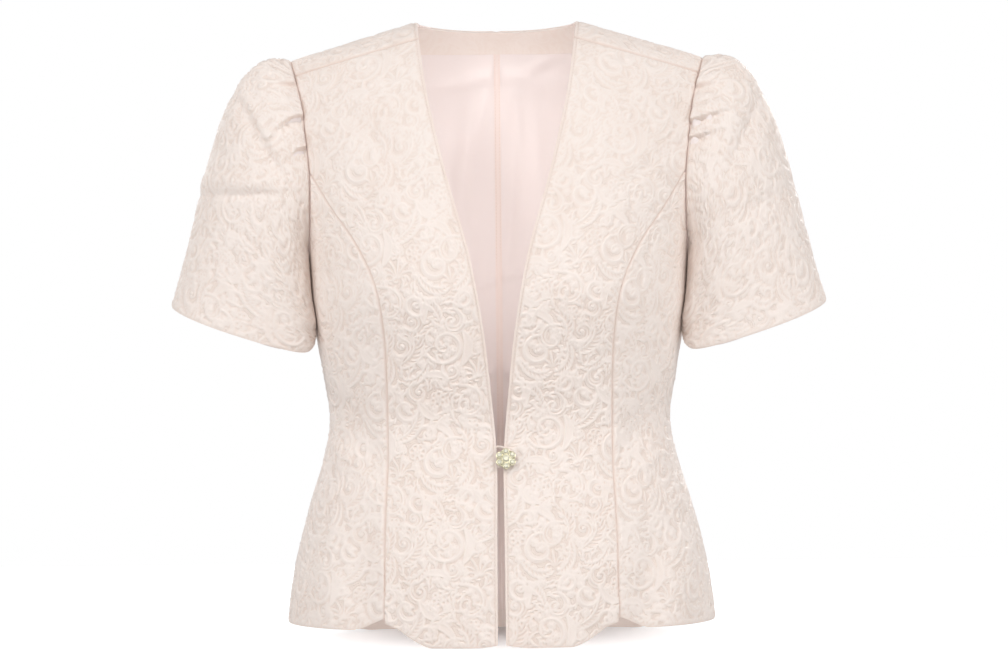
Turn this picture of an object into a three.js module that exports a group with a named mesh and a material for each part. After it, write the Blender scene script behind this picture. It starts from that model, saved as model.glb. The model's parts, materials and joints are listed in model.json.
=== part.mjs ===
// A lady's short-sleeved occasion jacket in relief-woven brocade, filled out as if worn.
//
// Millimetres, +Z up. The origin is midway between the two neck points, where the wearer's
// shoulders hold the jacket up. The front faces -Y and the wearer's left is +X.
//
// The body is one smooth surface, cut into the panels that a tailor would cut: two fronts, two
// side fronts and two backs. A point on it is named by three things: its face (front or back),
// an angle (0 on the centre line, a quarter turn at the side seam) and a level. A level is a
// height above the neck points, and over the armholes it bends with the slope of the shoulder.

import * as THREE from "three";

const FRONT = -1;
const BACK = 1;
const SIDES = [
  { name: "right", sign: -1 },
  { name: "left", sign: 1 },
];

// Thicknesses and clearances.
const CLOTH_WALL = 1.6;
const LINING_WALL = 1.0;
const LINING_GAP = 0.5;
const SEAM_GAP = 0.34;
const ARMHOLE_GAP = 0.4;
const SEAT_GAP = 0.3;

// Levels that the pieces share.
const HEM = -600;
const UNDERARM = -244;
const PRINCESS_TOP = -135;
const SHOULDER = 0;
const FACING_EDGE = -28;
const LINING_HEM = -582;

// The neck and the shoulder line, seen from the front.
const NECK_HALF_WIDTH = 78;
const SHOULDER_SLOPE = 0.298;
const COLLAR_RISE = 14;
const BACK_NECK_DROP = 17;
const BACK_NECK_POWER = 2.2;

// Powers of the rounded-square curves: sections seen from above, and the roll of the shoulder.
const SECTION_POWER = 2.3;
const ROLL_POWER = 2.3;

// Sections of the body: half the width, and the depths in front of and behind the side seam.
const SECTIONS = [
  { at: "below hem", level: -620, halfWidth: 212.5, front: 152, back: 154 },
  { at: "hem", level: -600, halfWidth: 210.5, front: 151, back: 152 },
  { at: "hip", level: -530, halfWidth: 200.5, front: 144, back: 147 },
  { at: "high hip", level: -468, halfWidth: 185, front: 131, back: 131 },
  { at: "below waist", level: -430, halfWidth: 173, front: 120, back: 113 },
  { at: "waist", level: -390, halfWidth: 165.7, front: 114, back: 101 },
  { at: "ribs", level: -345, halfWidth: 171.3, front: 122, back: 105 },
  { at: "bust", level: -275, halfWidth: 183.2, front: 134, back: 116 },
  { at: "underarm", level: -244, halfWidth: 185.5, front: 133, back: 120 },
  { at: "chest", level: -198, halfWidth: 190, front: 128, back: 123 },
  { at: "across chest", level: -163, halfWidth: 196.5, front: 123, back: 124 },
  { at: "shoulder blades", level: -110, halfWidth: 201.5, front: 114, back: 122 },
  { at: "shoulder", level: 0, halfWidth: 207, front: 98, back: 110 },
];

// The armhole seam, as the distance from the centre at each level.
const ARMHOLE = [
  { at: "underarm", level: -244, x: 185.5 },
  { at: "low front", level: -198, x: 181.7 },
  { at: "front notch", level: -160, x: 180.8 },
  { at: "princess seam", level: -135, x: 181.2 },
  { at: "tuck", level: -89, x: 186 },
  { at: "tuck", level: -58, x: 189 },
  { at: "tuck", level: -33, x: 194 },
  { at: "shoulder tip", level: 0, x: 201.5 },
];

// The princess seam of the front, from the hem to the armhole.
const PRINCESS_SEAM = [
  { at: "below hem", level: -620, x: 113.5 },
  { at: "hem", level: -570, x: 111.6 },
  { at: "hip", level: -514, x: 110.2 },
  { at: "high hip", level: -467, x: 108.6 },
  { at: "waist", level: -400, x: 107 },
  { at: "ribs", level: -343, x: 107.2 },
  { at: "under bust", level: -295, x: 110 },
  { at: "bust", level: -257, x: 117.7 },
  { at: "above bust", level: -216, x: 135.9 },
  { at: "chest", level: -178, x: 159.1 },
  { at: "armhole", level: -135, x: 181.2 },
];

// The front edge, from the hem up the opening and round the V of the neck.
const FRONT_EDGE = [
  { at: "below hem", level: -620, x: 4.0 },
  { at: "hem", level: -592, x: 3.8 },
  { at: "hip", level: -500, x: 3.5 },
  { at: "button", level: -430, x: 3.0 },
  { at: "above button", level: -400, x: 4.6 },
  { at: "low V", level: -361, x: 8.2 },
  { at: "V", level: -307, x: 14.0 },
  { at: "bust", level: -265, x: 20.6 },
  { at: "V", level: -227, x: 28.3 },
  { at: "chest", level: -154, x: 49.4 },
  { at: "collar bone", level: -73, x: 67.6 },
  { at: "neck point", level: 0, x: 78 },
];

// The hem is scalloped in front: each panel's edge rises to a notch at the princess seam.
const FRONT_HEM_DROP = -0.5;
const FRONT_CORNER_RISE = 3.5;
const FRONT_CORNER_REACH = 30;
const SIDE_HEM_RISE = 16;
const NOTCH = { frontRise: 27.5, frontReach: 46, sideRise: 14.5, sideReach: 32, power: 1.4 };
const NOTCH_X = 111.6;
const BACK_HEM_DROP = 6;
const BACK_HEM_TURN = 130;
const HEM_BLEND = 110;

// The bust's fullness over each princess seam.
const BUST = { x: 92, level: -262, across: 50, along: 58, rise: 8 };

// Soft troughs and ridges of the worn cloth. x and z are the middle of each, turn is the angle of
// its length from upright towards +X, in degrees, and rise is negative for a trough.
const FOLDS = [
  { face: FRONT, x: -141, z: -388, turn: -32, length: 52, width: 15, rise: -5.5 },
  { face: FRONT, x: -160, z: -352, turn: -28, length: 45, width: 12, rise: 2.5 },
  { face: FRONT, x: 138, z: -392, turn: 30, length: 46, width: 14, rise: -5 },
  { face: FRONT, x: 158, z: -356, turn: 24, length: 42, width: 12, rise: 2.5 },
  { face: FRONT, x: -129, z: -545, turn: -3, length: 62, width: 13, rise: -5 },
  { face: FRONT, x: -160, z: -560, turn: -6, length: 55, width: 16, rise: 4 },
  { face: FRONT, x: 137, z: -555, turn: 8, length: 66, width: 13, rise: -5 },
  { face: FRONT, x: 166, z: -560, turn: 10, length: 55, width: 15, rise: 4 },
  { face: FRONT, x: -62, z: -548, turn: -12, length: 70, width: 26, rise: 3 },
  { face: FRONT, x: 66, z: -552, turn: 12, length: 66, width: 26, rise: 3 },
  { face: FRONT, x: -30, z: -462, turn: -74, length: 26, width: 7, rise: -2 },
  { face: FRONT, x: -118, z: -120, turn: -42, length: 60, width: 15, rise: -2 },
  { face: BACK, x: -128, z: -540, turn: -4, length: 70, width: 20, rise: 5 },
  { face: BACK, x: -92, z: -555, turn: -2, length: 60, width: 14, rise: -4 },
  { face: BACK, x: 124, z: -545, turn: 5, length: 66, width: 20, rise: 5 },
  { face: BACK, x: 86, z: -550, turn: 3, length: 62, width: 14, rise: -4 },
  { face: BACK, x: -112, z: -372, turn: -34, length: 50, width: 14, rise: -4 },
  { face: BACK, x: 116, z: -378, turn: 30, length: 46, width: 14, rise: -4 },
  { face: BACK, x: -60, z: -118, turn: 70, length: 48, width: 13, rise: -2 },
];

// The sleeve: where its hem hangs, and how its surface leaves the armhole and comes to the hem.
// Pulls are shares of the way between the two. The hem's inner end sits forward and leans in.
const SLEEVE = {
  hemOuter: { x: 320.5, z: -275 },
  hemInner: { x: 180.6, z: -323 },
  hemHalfDepth: 51,
  hemPower: 2.2,
  hemSag: 8,
  hemForward: 22,
  hemLean: 12,
  underSeamRise: 19,
  underSeamTurn: 3.3,
  underSeamSpread: 0.5,
  leavePull: { head: 0.86, under: 0.66 },
  arrivePull: { head: 1.15, under: 0.95 },
  leaveOut: { head: 0.82, under: 0.8 },
  leaveUp: 0.31,
  leaveSide: 0.5,
  leaveDown: 0.95,
};
// Each tuck: its level on the armhole, how far it runs down the sleeve and how far it stands up.
const TUCKS = {
  right: [
    { face: FRONT, level: -38, reach: 0.17, rise: 4.5 },
    { face: FRONT, level: -72, reach: 0.26, rise: 7.5 },
    { face: FRONT, level: -104, reach: 0.2, rise: 4.5 },
    { face: BACK, level: -42, reach: 0.18, rise: 4.5 },
    { face: BACK, level: -76, reach: 0.24, rise: 6 },
    { face: BACK, level: -106, reach: 0.19, rise: 4.5 },
  ],
  left: [
    { face: FRONT, level: -30, reach: 0.16, rise: 4.5 },
    { face: FRONT, level: -73, reach: 0.26, rise: 7.5 },
    { face: FRONT, level: -97, reach: 0.22, rise: 6 },
    { face: BACK, level: -36, reach: 0.18, rise: 4.5 },
    { face: BACK, level: -70, reach: 0.24, rise: 6 },
    { face: BACK, level: -102, reach: 0.2, rise: 4.5 },
  ],
};
const TUCK_WIDTH = 21;
// Creases across the sleeves, where the arm bends the cloth: share is how far down the sleeve.
const SLEEVE_CREASES = {
  right: [
    { face: FRONT, level: -150, share: 0.44, length: 85, width: 0.07, rise: -6 },
    { face: FRONT, level: -60, share: 0.3, length: 45, width: 0.12, rise: -3.5 },
    { face: BACK, level: -140, share: 0.4, length: 80, width: 0.08, rise: -4 },
  ],
  left: [
    { face: FRONT, level: -95, share: 0.36, length: 45, width: 0.12, rise: -5 },
    { face: FRONT, level: -150, share: 0.6, length: 70, width: 0.08, rise: -3 },
    { face: BACK, level: -140, share: 0.44, length: 80, width: 0.08, rise: -4 },
  ],
};

// The jewelled button and its cord loop, at the waist.
const BUTTON = { x: 5.3, level: -423, petals: 6, petalRing: 7.4, petalRadius: 2.9, centreRadius: 3.6 };
const SHANK = { radius: 2, length: 2.8, sides: 12, gap: 0.45 };
const BUTTON_PLATE = 1.4;
const PLATE_RIM = 0.5;
const STONE = { height: 2.6, sides: 10 };
const LOOP = { radius: 1.1, sides: 8, steps: 26 };
// The loop's line, seen from the front of the button, with its height over the cloth: out of the
// right front's edge, round the shank behind the button, and back into the edge.
const LOOP_LINE = [
  { x: -7.6, y: 9.4, height: -0.9 },
  { x: -6.3, y: 9.5, height: -0.4 },
  { x: -2.8, y: 9.3, height: 1.7 },
  { x: 1.6, y: 7.0, height: 1.8 },
  { x: 3.9, y: 2.4, height: 1.8 },
  { x: 3.7, y: -2.6, height: 1.8 },
  { x: 1.0, y: -5.4, height: 1.8 },
  { x: -2.8, y: -6.5, height: 1.7 },
  { x: -6.3, y: -6.7, height: -0.4 },
  { x: -7.6, y: -6.6, height: -0.9 },
];

// Grid counts, by row band and by piece.
const ROWS_BELOW_ARM = 14;
const ROWS_ARM_LOW = 6;
const ROWS_ARM_HIGH = 12;
const COLUMNS = { front: 7, sideFront: 5, backNeck: 4, backSide: 6 };
const SLEEVE_ROWS = 12;

// Colours and finishes.
const brocade = new THREE.MeshStandardMaterial({ color: 0xf3e5dd, roughness: 0.62, metalness: 0 });
const satin = new THREE.MeshStandardMaterial({ color: 0xf2ded9, roughness: 0.38, metalness: 0 });
const gilt = new THREE.MeshStandardMaterial({ color: 0xd9c98f, roughness: 0.3, metalness: 0.9 });
const crystal = new THREE.MeshStandardMaterial({ color: 0xf4f0df, roughness: 0.08, metalness: 0.1 });

const clamp01 = (t) => Math.min(1, Math.max(0, t));
const ease = (t) => clamp01(t) ** 2 * (3 - 2 * clamp01(t));
const bell = (t) => Math.exp(-t * t);

// A smooth curve through one column of a table, as a function of level.
function columnCurve(rows, column) {
  const levels = rows.map((row) => row.level);
  const values = rows.map((row) => row[column]);
  const last = rows.length - 1;
  const slopes = rows.map((_, i) => {
    const a = Math.max(0, i - 1);
    const b = Math.min(last, i + 1);
    return (values[b] - values[a]) / (levels[b] - levels[a]);
  });
  return (level) => {
    let i = 0;
    while (i < last - 1 && level > levels[i + 1]) i += 1;
    const span = levels[i + 1] - levels[i];
    const t = clamp01((level - levels[i]) / span);
    const rise = t * t * (3 - 2 * t);
    return (
      values[i] * (1 - rise) +
      values[i + 1] * rise +
      span * slopes[i] * t * (1 - t) ** 2 -
      span * slopes[i + 1] * t * t * (1 - t)
    );
  };
}

const halfWidthAt = columnCurve(SECTIONS, "halfWidth");
const depthAt = { [FRONT]: columnCurve(SECTIONS, "front"), [BACK]: columnCurve(SECTIONS, "back") };
const armholeX = columnCurve(ARMHOLE, "x");
const princessX = columnCurve(PRINCESS_SEAM, "x");
const frontEdgeX = columnCurve(FRONT_EDGE, "x");

// Height of the shoulder line over a distance from the centre: straight outside the neck points,
// and a low arch between them that only the back neck uses.
function shoulderLine(x) {
  if (x > NECK_HALF_WIDTH) return -SHOULDER_SLOPE * (x - NECK_HALF_WIDTH);
  return COLLAR_RISE * (1 - (x / NECK_HALF_WIDTH) ** 2);
}

// Height of the hem over a distance from the centre.
function hemLine(face, x) {
  const side = ease((x - BACK_HEM_TURN) / (halfWidthAt(HEM) - BACK_HEM_TURN));
  if (face === BACK) return HEM - BACK_HEM_DROP + (BACK_HEM_DROP + SIDE_HEM_RISE) * side;
  const reach = x < NOTCH_X ? NOTCH.frontReach : NOTCH.sideReach;
  const rise = x < NOTCH_X ? NOTCH.frontRise : NOTCH.sideRise;
  const notch = rise * clamp01(1 - Math.abs(x - NOTCH_X) / reach) ** NOTCH.power;
  const corner = FRONT_CORNER_RISE * clamp01(1 - x / FRONT_CORNER_REACH) ** 2;
  const base = x < NOTCH_X ? HEM - FRONT_HEM_DROP : HEM + SIDE_HEM_RISE;
  return base + notch + corner;
}

// The level that a row has over x, once the rows near the hem and the back neck follow the edge.
function fittedLevel(face, x, level) {
  const hem = (hemLine(face, x) - HEM) * ease(1 - (level - HEM) / HEM_BLEND);
  if (face === FRONT || x > NECK_HALF_WIDTH) return level + hem;
  const share = clamp01((level - PRINCESS_TOP) / (SHOULDER - PRINCESS_TOP));
  return level + hem - BACK_NECK_DROP * (1 - (x / NECK_HALF_WIDTH) ** BACK_NECK_POWER) * share ** 2;
}

// The angle round a section that lies x from the centre.
function angleAt(x, level) {
  return Math.asin(clamp01(x / halfWidthAt(level)) ** (SECTION_POWER / 2));
}

// The body's surface without its folds.
function plainBody(face, sign, angle, level) {
  const x = halfWidthAt(level) * Math.sin(angle) ** (2 / SECTION_POWER);
  const share = clamp01((level - UNDERARM) / (SHOULDER - UNDERARM));
  const roll = (1 - share ** ROLL_POWER) ** (1 / ROLL_POWER);
  const round = Math.cos(angle) ** (2 / SECTION_POWER);
  const bust = BUST.rise * bell((x - BUST.x) / BUST.across) * bell((level - BUST.level) / BUST.along);
  const depth = depthAt[face](level) * round * roll + (face === FRONT ? bust * round : 0);
  const z = level > UNDERARM ? UNDERARM + (shoulderLine(x) - UNDERARM) * share : level;
  return new THREE.Vector3(sign * x, face * (depth + SEAM_GAP / 2), z);
}

// How far the folds lift or sink the cloth at a point.
function foldRise(face, point) {
  let rise = 0;
  for (const fold of FOLDS) {
    if (fold.face !== face) continue;
    const turn = THREE.MathUtils.degToRad(fold.turn);
    const dx = point.x - fold.x;
    const dz = point.z - fold.z;
    const along = dx * Math.sin(turn) + dz * Math.cos(turn);
    const across = dx * Math.cos(turn) - dz * Math.sin(turn);
    rise += fold.rise * bell(along / fold.length) * bell(across / fold.width);
  }
  return rise;
}

// A point of the body's surface with its folds, and the direction outwards there.
function bodyPoint(face, sign, angle, level) {
  const turn = 0.004;
  const step = 0.4;
  const top = Math.min(level + step, SHOULDER - 1e-6);
  const point = plainBody(face, sign, angle, level);
  const across = plainBody(face, sign, Math.min(angle + turn, Math.PI / 2), level).sub(
    plainBody(face, sign, Math.max(angle - turn, 0), level),
  );
  const up = plainBody(face, sign, angle, top).sub(plainBody(face, sign, angle, level - step));
  const out = across.cross(up).multiplyScalar(-face * sign).normalize();
  const fade = ease(-level / 60) * ease((Math.PI / 2 - angle) / 0.25);
  point.addScaledVector(out, foldRise(face, point) * fade);
  return { point, out };
}

// A point moved inwards by a depth, kept on its own side of the side seam and the shoulder seam.
function sunk(face, spot, depth) {
  const point = spot.point.clone().addScaledVector(spot.out, -depth);
  point.y = face * Math.max(face * point.y, SEAM_GAP / 2);
  return point;
}

const evenly = (from, to, count) =>
  Array.from({ length: count + 1 }, (_, i) => from + ((to - from) * i) / count);

// Levels from the princess seam's top to the shoulder, closer together where the shoulder rolls.
function rollLevels(from, count) {
  const shareOf = (level) => (level - UNDERARM) / (SHOULDER - UNDERARM);
  const start = Math.asin(shareOf(from) ** (ROLL_POWER / 2));
  return evenly(start, Math.PI / 2, count).map(
    (turn) => UNDERARM + (SHOULDER - UNDERARM) * Math.sin(turn) ** (2 / ROLL_POWER),
  );
}

const LEVELS = [
  ...evenly(HEM, UNDERARM, ROWS_BELOW_ARM),
  ...evenly(UNDERARM, PRINCESS_TOP, ROWS_ARM_LOW).slice(1),
  ...rollLevels(PRINCESS_TOP, ROWS_ARM_HIGH).slice(1),
];

const FACING_ROWS = LEVELS.filter((level) => level > FACING_EDGE);

// The angle of the side seam or the armhole, whichever bounds the body at a level.
function outerAngle(level) {
  return level <= UNDERARM ? Math.PI / 2 : angleAt(armholeX(level), level);
}

// A grid of spots over a strip of the body. Its edges are functions from level to angle, the
// first and the last being the strip's own, and columns counts the steps between each two.
function bodyGrid({ face, sign, levels, edges, columns }) {
  return levels.map((level) => {
    const angles = columns.flatMap((count, i) =>
      evenly(edges[i](level), edges[i + 1](level), count).slice(i === 0 ? 0 : 1),
    );
    return angles.map((angle) => {
      const x = halfWidthAt(level) * Math.sin(angle) ** (2 / SECTION_POWER);
      return bodyPoint(face, sign, angle, fittedLevel(face, x, level));
    });
  });
}

// A closed cloth wall between two grids of points. A ring joins its last column to its first.
// Squares before the mirror column are cut along their other diagonal, so that a piece across the
// centre line has mirrored halves.
function wallGeometry(outer, inner, { ring = false, mirrorColumn = 0 } = {}) {
  const rows = outer.length;
  const columns = outer[0].length;
  const points = [...outer.flat(), ...inner.flat()];
  const at = (row, column) => row * columns + (column % columns);
  const under = (row, column) => rows * columns + at(row, column);
  const faces = [];
  const quad = (a, b, c, d, turned = false) =>
    turned ? faces.push(b, c, d, b, d, a) : faces.push(a, b, c, a, c, d);
  const lastColumn = ring ? columns : columns - 1;
  for (let row = 0; row < rows - 1; row += 1) {
    for (let column = 0; column < lastColumn; column += 1) {
      const turned = column < mirrorColumn;
      const [a, b, c, d] = [at(row, column), at(row, column + 1), at(row + 1, column + 1), at(row + 1, column)];
      quad(a, b, c, d, turned);
      quad(...[a, d, c, b].map((corner) => corner + rows * columns), turned);
    }
    if (!ring) {
      quad(at(row, 0), at(row + 1, 0), under(row + 1, 0), under(row, 0));
      quad(at(row + 1, lastColumn), at(row, lastColumn), under(row, lastColumn), under(row + 1, lastColumn));
    }
  }
  for (let column = 0; column < lastColumn; column += 1) {
    quad(at(0, column + 1), at(0, column), under(0, column), under(0, column + 1));
    quad(at(rows - 1, column), at(rows - 1, column + 1), under(rows - 1, column + 1), under(rows - 1, column));
  }
  const geometry = new THREE.BufferGeometry();
  geometry.setAttribute("position", new THREE.Float32BufferAttribute(points.flatMap((p) => [p.x, p.y, p.z]), 3));
  geometry.setIndex(enclosedVolume(points, faces) < 0 ? faces.toReversed() : faces);
  geometry.computeVertexNormals();
  return geometry;
}

// The volume inside a triangle list, negative where the faces point inwards.
function enclosedVolume(points, faces) {
  let sum = 0;
  for (let i = 0; i < faces.length; i += 3) {
    const [a, b, c] = [points[faces[i]], points[faces[i + 1]], points[faces[i + 2]]];
    sum += a.dot(b.clone().cross(c)) / 6;
  }
  return sum;
}

function namedMesh(name, geometry, material) {
  const mesh = new THREE.Mesh(geometry, material);
  mesh.name = name;
  return mesh;
}

// A panel of the shell: the grid's points outside, and the same points a cloth's thickness inside.
function shellPanel(name, options) {
  const grid = bodyGrid(options);
  const outer = grid.map((row) => row.map((spot) => spot.point));
  const inner = grid.map((row) => row.map((spot) => sunk(options.face, spot, CLOTH_WALL)));
  return namedMesh(name, wallGeometry(outer, inner), brocade);
}

// The front, from the hem to the shoulder: the opening and the V on one side, the princess seam
// and then the armhole on the other.
function frontPanel(side) {
  const seam = (level) => angleAt(princessX(level) - SEAM_GAP / 2, level);
  return shellPanel(`front_${side.name}`, {
    face: FRONT,
    sign: side.sign,
    levels: LEVELS,
    edges: [
      (level) => angleAt(frontEdgeX(level), level),
      (level) => (level < PRINCESS_TOP ? seam(level) : outerAngle(level)),
    ],
    columns: [COLUMNS.front],
  });
}

// The side front, from the hem to its point at the armhole.
function sideFrontPanel(side) {
  const point = PRINCESS_TOP - 3;
  const levels = [...LEVELS.filter((level) => level < point), point];
  const clearance = (level) => (level === point ? 2 * SEAM_GAP : SEAM_GAP / 2);
  return shellPanel(`side_front_${side.name}`, {
    face: FRONT,
    sign: side.sign,
    levels,
    edges: [(level) => angleAt(princessX(level) + clearance(level), level), outerAngle],
    columns: [COLUMNS.sideFront],
  });
}

const centreBack = (level) => angleAt(SEAM_GAP / 2, level);
const underNeckPoint = (level) => angleAt(NECK_HALF_WIDTH, level);

// Half of the back, from the centre seam to the side seam and the armhole.
function backPanel(side) {
  return shellPanel(`back_${side.name}`, {
    face: BACK,
    sign: side.sign,
    levels: LEVELS,
    edges: [centreBack, underNeckPoint, outerAngle],
    columns: [COLUMNS.backNeck, COLUMNS.backSide],
  });
}

// A layer inside the back, made from the back's own points moved in.
function innerLayer(name, material, grid, mirrorColumn = 0) {
  const start = CLOTH_WALL + LINING_GAP;
  const outer = grid.map((row) => row.map((spot) => sunk(BACK, spot, start)));
  const inner = grid.map((row) => row.map((spot) => sunk(BACK, spot, start + LINING_WALL)));
  return namedMesh(name, wallGeometry(outer, inner, { mirrorColumn }), material);
}

// Half of the back lining, which shows through the neck and the front opening.
function backLining(side) {
  const top = FACING_ROWS[0] - SEAM_GAP;
  const between = LEVELS.filter((level) => level > LINING_HEM + 1 && level < top - 1);
  const grid = bodyGrid({
    face: BACK,
    sign: side.sign,
    levels: [LINING_HEM, ...between, top],
    edges: [centreBack, underNeckPoint, outerAngle],
    columns: [COLUMNS.backNeck, COLUMNS.backSide],
  });
  return innerLayer(`back_lining_${side.name}`, satin, grid);
}

// The facing inside the back neck, one piece from neck point to neck point.
function neckFacing() {
  const [right, left] = SIDES.map((side) =>
    bodyGrid({
      face: BACK,
      sign: side.sign,
      levels: FACING_ROWS,
      edges: [() => 0, underNeckPoint],
      columns: [COLUMNS.backNeck],
    }),
  );
  const grid = right.map((row, i) => [...row.toReversed().slice(0, -1), ...left[i]]);
  return innerLayer("neck_facing", brocade, grid, COLUMNS.backNeck);
}

// The armhole's edge, from the shoulder tip down the front to the underarm and up the back. Its
// corners are the body's own rows, so that the sleeve's edge meets them one to one.
function armholeLoop(side) {
  const down = LEVELS.filter((level) => level >= UNDERARM).toReversed();
  const spotAt = (face, level) => ({ face, level, ...bodyPoint(face, side.sign, outerAngle(level), level) });
  const front = down.map((level) => spotAt(FRONT, level));
  const back = down.slice(1, -1).toReversed().map((level) => spotAt(BACK, level));
  front[0].point.y = 0;
  front.at(-1).point.y = 0;
  return [...front, ...back];
}

// Turns round the armhole by length: 0 at the shoulder tip, half a turn at the underarm.
function loopTurns(loop) {
  const lengths = loop.map((spot, i) => spot.point.distanceTo(loop[(i + 1) % loop.length].point));
  const bottom = loop.findIndex((spot) => spot.level === UNDERARM);
  const sum = (from, to) => lengths.slice(from, to).reduce((a, b) => a + b, 0);
  const down = sum(0, bottom);
  const up = sum(bottom, loop.length);
  return loop.map((_, i) =>
    i <= bottom ? (Math.PI * sum(0, i)) / down : Math.PI * (1 + sum(bottom, i) / up),
  );
}

// How far the tucks lift the sleeve's head: each stands up above its line and drops sharply at it.
function tuckRise(side, spot, share) {
  let rise = 0;
  for (const tuck of TUCKS[side.name]) {
    if (tuck.face !== spot.face) continue;
    const above = (spot.level - tuck.level) / TUCK_WIDTH;
    const along = Math.sin(Math.PI * clamp01(share / tuck.reach) ** 0.6);
    const profile = above > 0 ? bell(above * 1.1) : -0.8 * bell(above * 1.8);
    rise += tuck.rise * along * profile;
  }
  return rise;
}

function creaseRise(side, spot, share) {
  let rise = 0;
  for (const crease of SLEEVE_CREASES[side.name]) {
    if (crease.face !== spot.face) continue;
    const across = (spot.level - crease.level) / crease.length;
    rise += crease.rise * bell(across) * bell((share - crease.share) / crease.width);
  }
  return rise;
}

// The sleeve's outer surface: from each corner of the armhole a curve leaves outwards, up at the
// head and down at the underarm, and arrives at the hem square to it.
function sleeveSurface(side, loop) {
  const { hemOuter, hemInner } = SLEEVE;
  const middle = new THREE.Vector3((hemOuter.x + hemInner.x) / 2, 0, (hemOuter.z + hemInner.z) / 2);
  const outwards = new THREE.Vector3(hemOuter.x - middle.x, 0, hemOuter.z - middle.z);
  const down = new THREE.Vector3(-outwards.z, 0, outwards.x).normalize().multiplyScalar(-1);
  const turns = loopTurns(loop);
  const power = 2 / SLEEVE.hemPower;
  const rounded = (t) => Math.sign(t) * Math.abs(t) ** power;
  const mix = ({ head, under }, share) => under + (head - under) * share;
  return loop.map((spot, i) => {
    const turn = turns[i];
    const head = Math.max(0, Math.cos(turn));
    const inner = (1 - Math.cos(turn)) / 2;
    const start = new THREE.Vector3(Math.abs(spot.point.x) + ARMHOLE_GAP, spot.point.y, spot.point.z);
    const end = middle.clone().addScaledVector(outwards, rounded(Math.cos(turn)));
    end.x -= SLEEVE.hemLean * Math.sin(turn) * inner ** 2;
    end.y = -SLEEVE.hemHalfDepth * rounded(Math.sin(turn)) - SLEEVE.hemForward * inner;
    end.z += SLEEVE.underSeamRise * bell((turn - SLEEVE.underSeamTurn) / SLEEVE.underSeamSpread);
    end.z -= SLEEVE.hemSag * Math.abs(Math.sin(turn));
    const reach = start.distanceTo(end);
    const upwards = Math.cos(turn) * (head > 0 ? SLEEVE.leaveUp : SLEEVE.leaveDown);
    const leave = new THREE.Vector3(mix(SLEEVE.leaveOut, 1 - inner), -SLEEVE.leaveSide * Math.sin(turn), upwards);
    leave.normalize().multiplyScalar(mix(SLEEVE.leavePull, head) * reach);
    const arrive = down.clone().multiplyScalar(mix(SLEEVE.arrivePull, head) * reach);
    return evenly(0, 1, SLEEVE_ROWS).map((share) => {
      const t = share ** 1.15;
      const rise = t * t * (3 - 2 * t);
      return start
        .clone()
        .multiplyScalar(1 - rise)
        .addScaledVector(end, rise)
        .addScaledVector(leave, t * (1 - t) ** 2)
        .addScaledVector(arrive, -t * t * (1 - t));
    });
  });
}

// The sleeve as a ring wall, with its tucks and creases pushed out along its surface.
function sleeve(side) {
  const loop = armholeLoop(side);
  const surface = sleeveSurface(side, loop);
  const count = surface.length;
  const outAt = (grid, i, j) => {
    const around = grid[(i + 1) % count][j].clone().sub(grid[(i + count - 1) % count][j]);
    const along = grid[i][Math.min(j + 1, SLEEVE_ROWS)].clone().sub(grid[i][Math.max(j - 1, 0)]);
    return around.cross(along).normalize();
  };
  const raised = surface.map((line, i) =>
    line.map((point, j) => {
      const share = j / SLEEVE_ROWS;
      const rise = tuckRise(side, loop[i], share) + creaseRise(side, loop[i], share);
      return point.clone().addScaledVector(outAt(surface, i, j), rise * ease(j / 2));
    }),
  );
  const sunkIn = raised.map((line, i) =>
    line.map((point, j) => point.clone().addScaledVector(outAt(raised, i, j), -CLOTH_WALL)),
  );
  const byRow = (grid) =>
    evenly(0, SLEEVE_ROWS, SLEEVE_ROWS).map((j) =>
      grid.map((line) => new THREE.Vector3(side.sign * line[j].x, line[j].y, line[j].z)),
    );
  return namedMesh(`sleeve_${side.name}`, wallGeometry(byRow(raised), byRow(sunkIn), { ring: true }), brocade);
}

// The plate of the button: a disc with a round lobe under each petal.
function buttonPlate() {
  const corners = evenly(0, 2 * Math.PI, BUTTON.petals * 6).slice(0, -1);
  const reach = BUTTON.petalRing + BUTTON.petalRadius + PLATE_RIM;
  const valley = reach - 2.2;
  const outline = corners.map((turn) => {
    const lobe = Math.abs(Math.cos((BUTTON.petals * (turn - Math.PI / 2)) / 2));
    const radius = valley + (reach - valley) * lobe ** 0.7;
    return new THREE.Vector2(radius * Math.cos(turn), radius * Math.sin(turn));
  });
  const plate = new THREE.ExtrudeGeometry(new THREE.Shape(outline), { depth: BUTTON_PLATE, bevelEnabled: false });
  return namedMesh("button_plate", plate, gilt);
}

// A cut stone: a low dome on a flat back, standing along +Z.
function stoneGeometry(radius) {
  const height = STONE.height * (radius / BUTTON.petalRadius) ** 0.5;
  const profile = [
    [0, 0],
    [radius, 0],
    [radius * 0.95, height * 0.45],
    [radius * 0.5, height],
    [0, height],
  ];
  const geometry = new THREE.LatheGeometry(profile.map(([r, h]) => new THREE.Vector2(r, h)), STONE.sides);
  return geometry.rotateX(Math.PI / 2);
}

function buttonStones() {
  const centre = namedMesh("button_stone_centre", stoneGeometry(BUTTON.centreRadius), crystal);
  const petals = evenly(0, BUTTON.petals, BUTTON.petals).slice(0, -1).map((i) => {
    const turn = Math.PI / 2 + (2 * Math.PI * i) / BUTTON.petals;
    const stone = namedMesh(`button_stone_${i + 1}`, stoneGeometry(BUTTON.petalRadius), crystal);
    stone.position.set(BUTTON.petalRing * Math.cos(turn), BUTTON.petalRing * Math.sin(turn), 0);
    return stone;
  });
  return [centre, ...petals];
}

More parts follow.
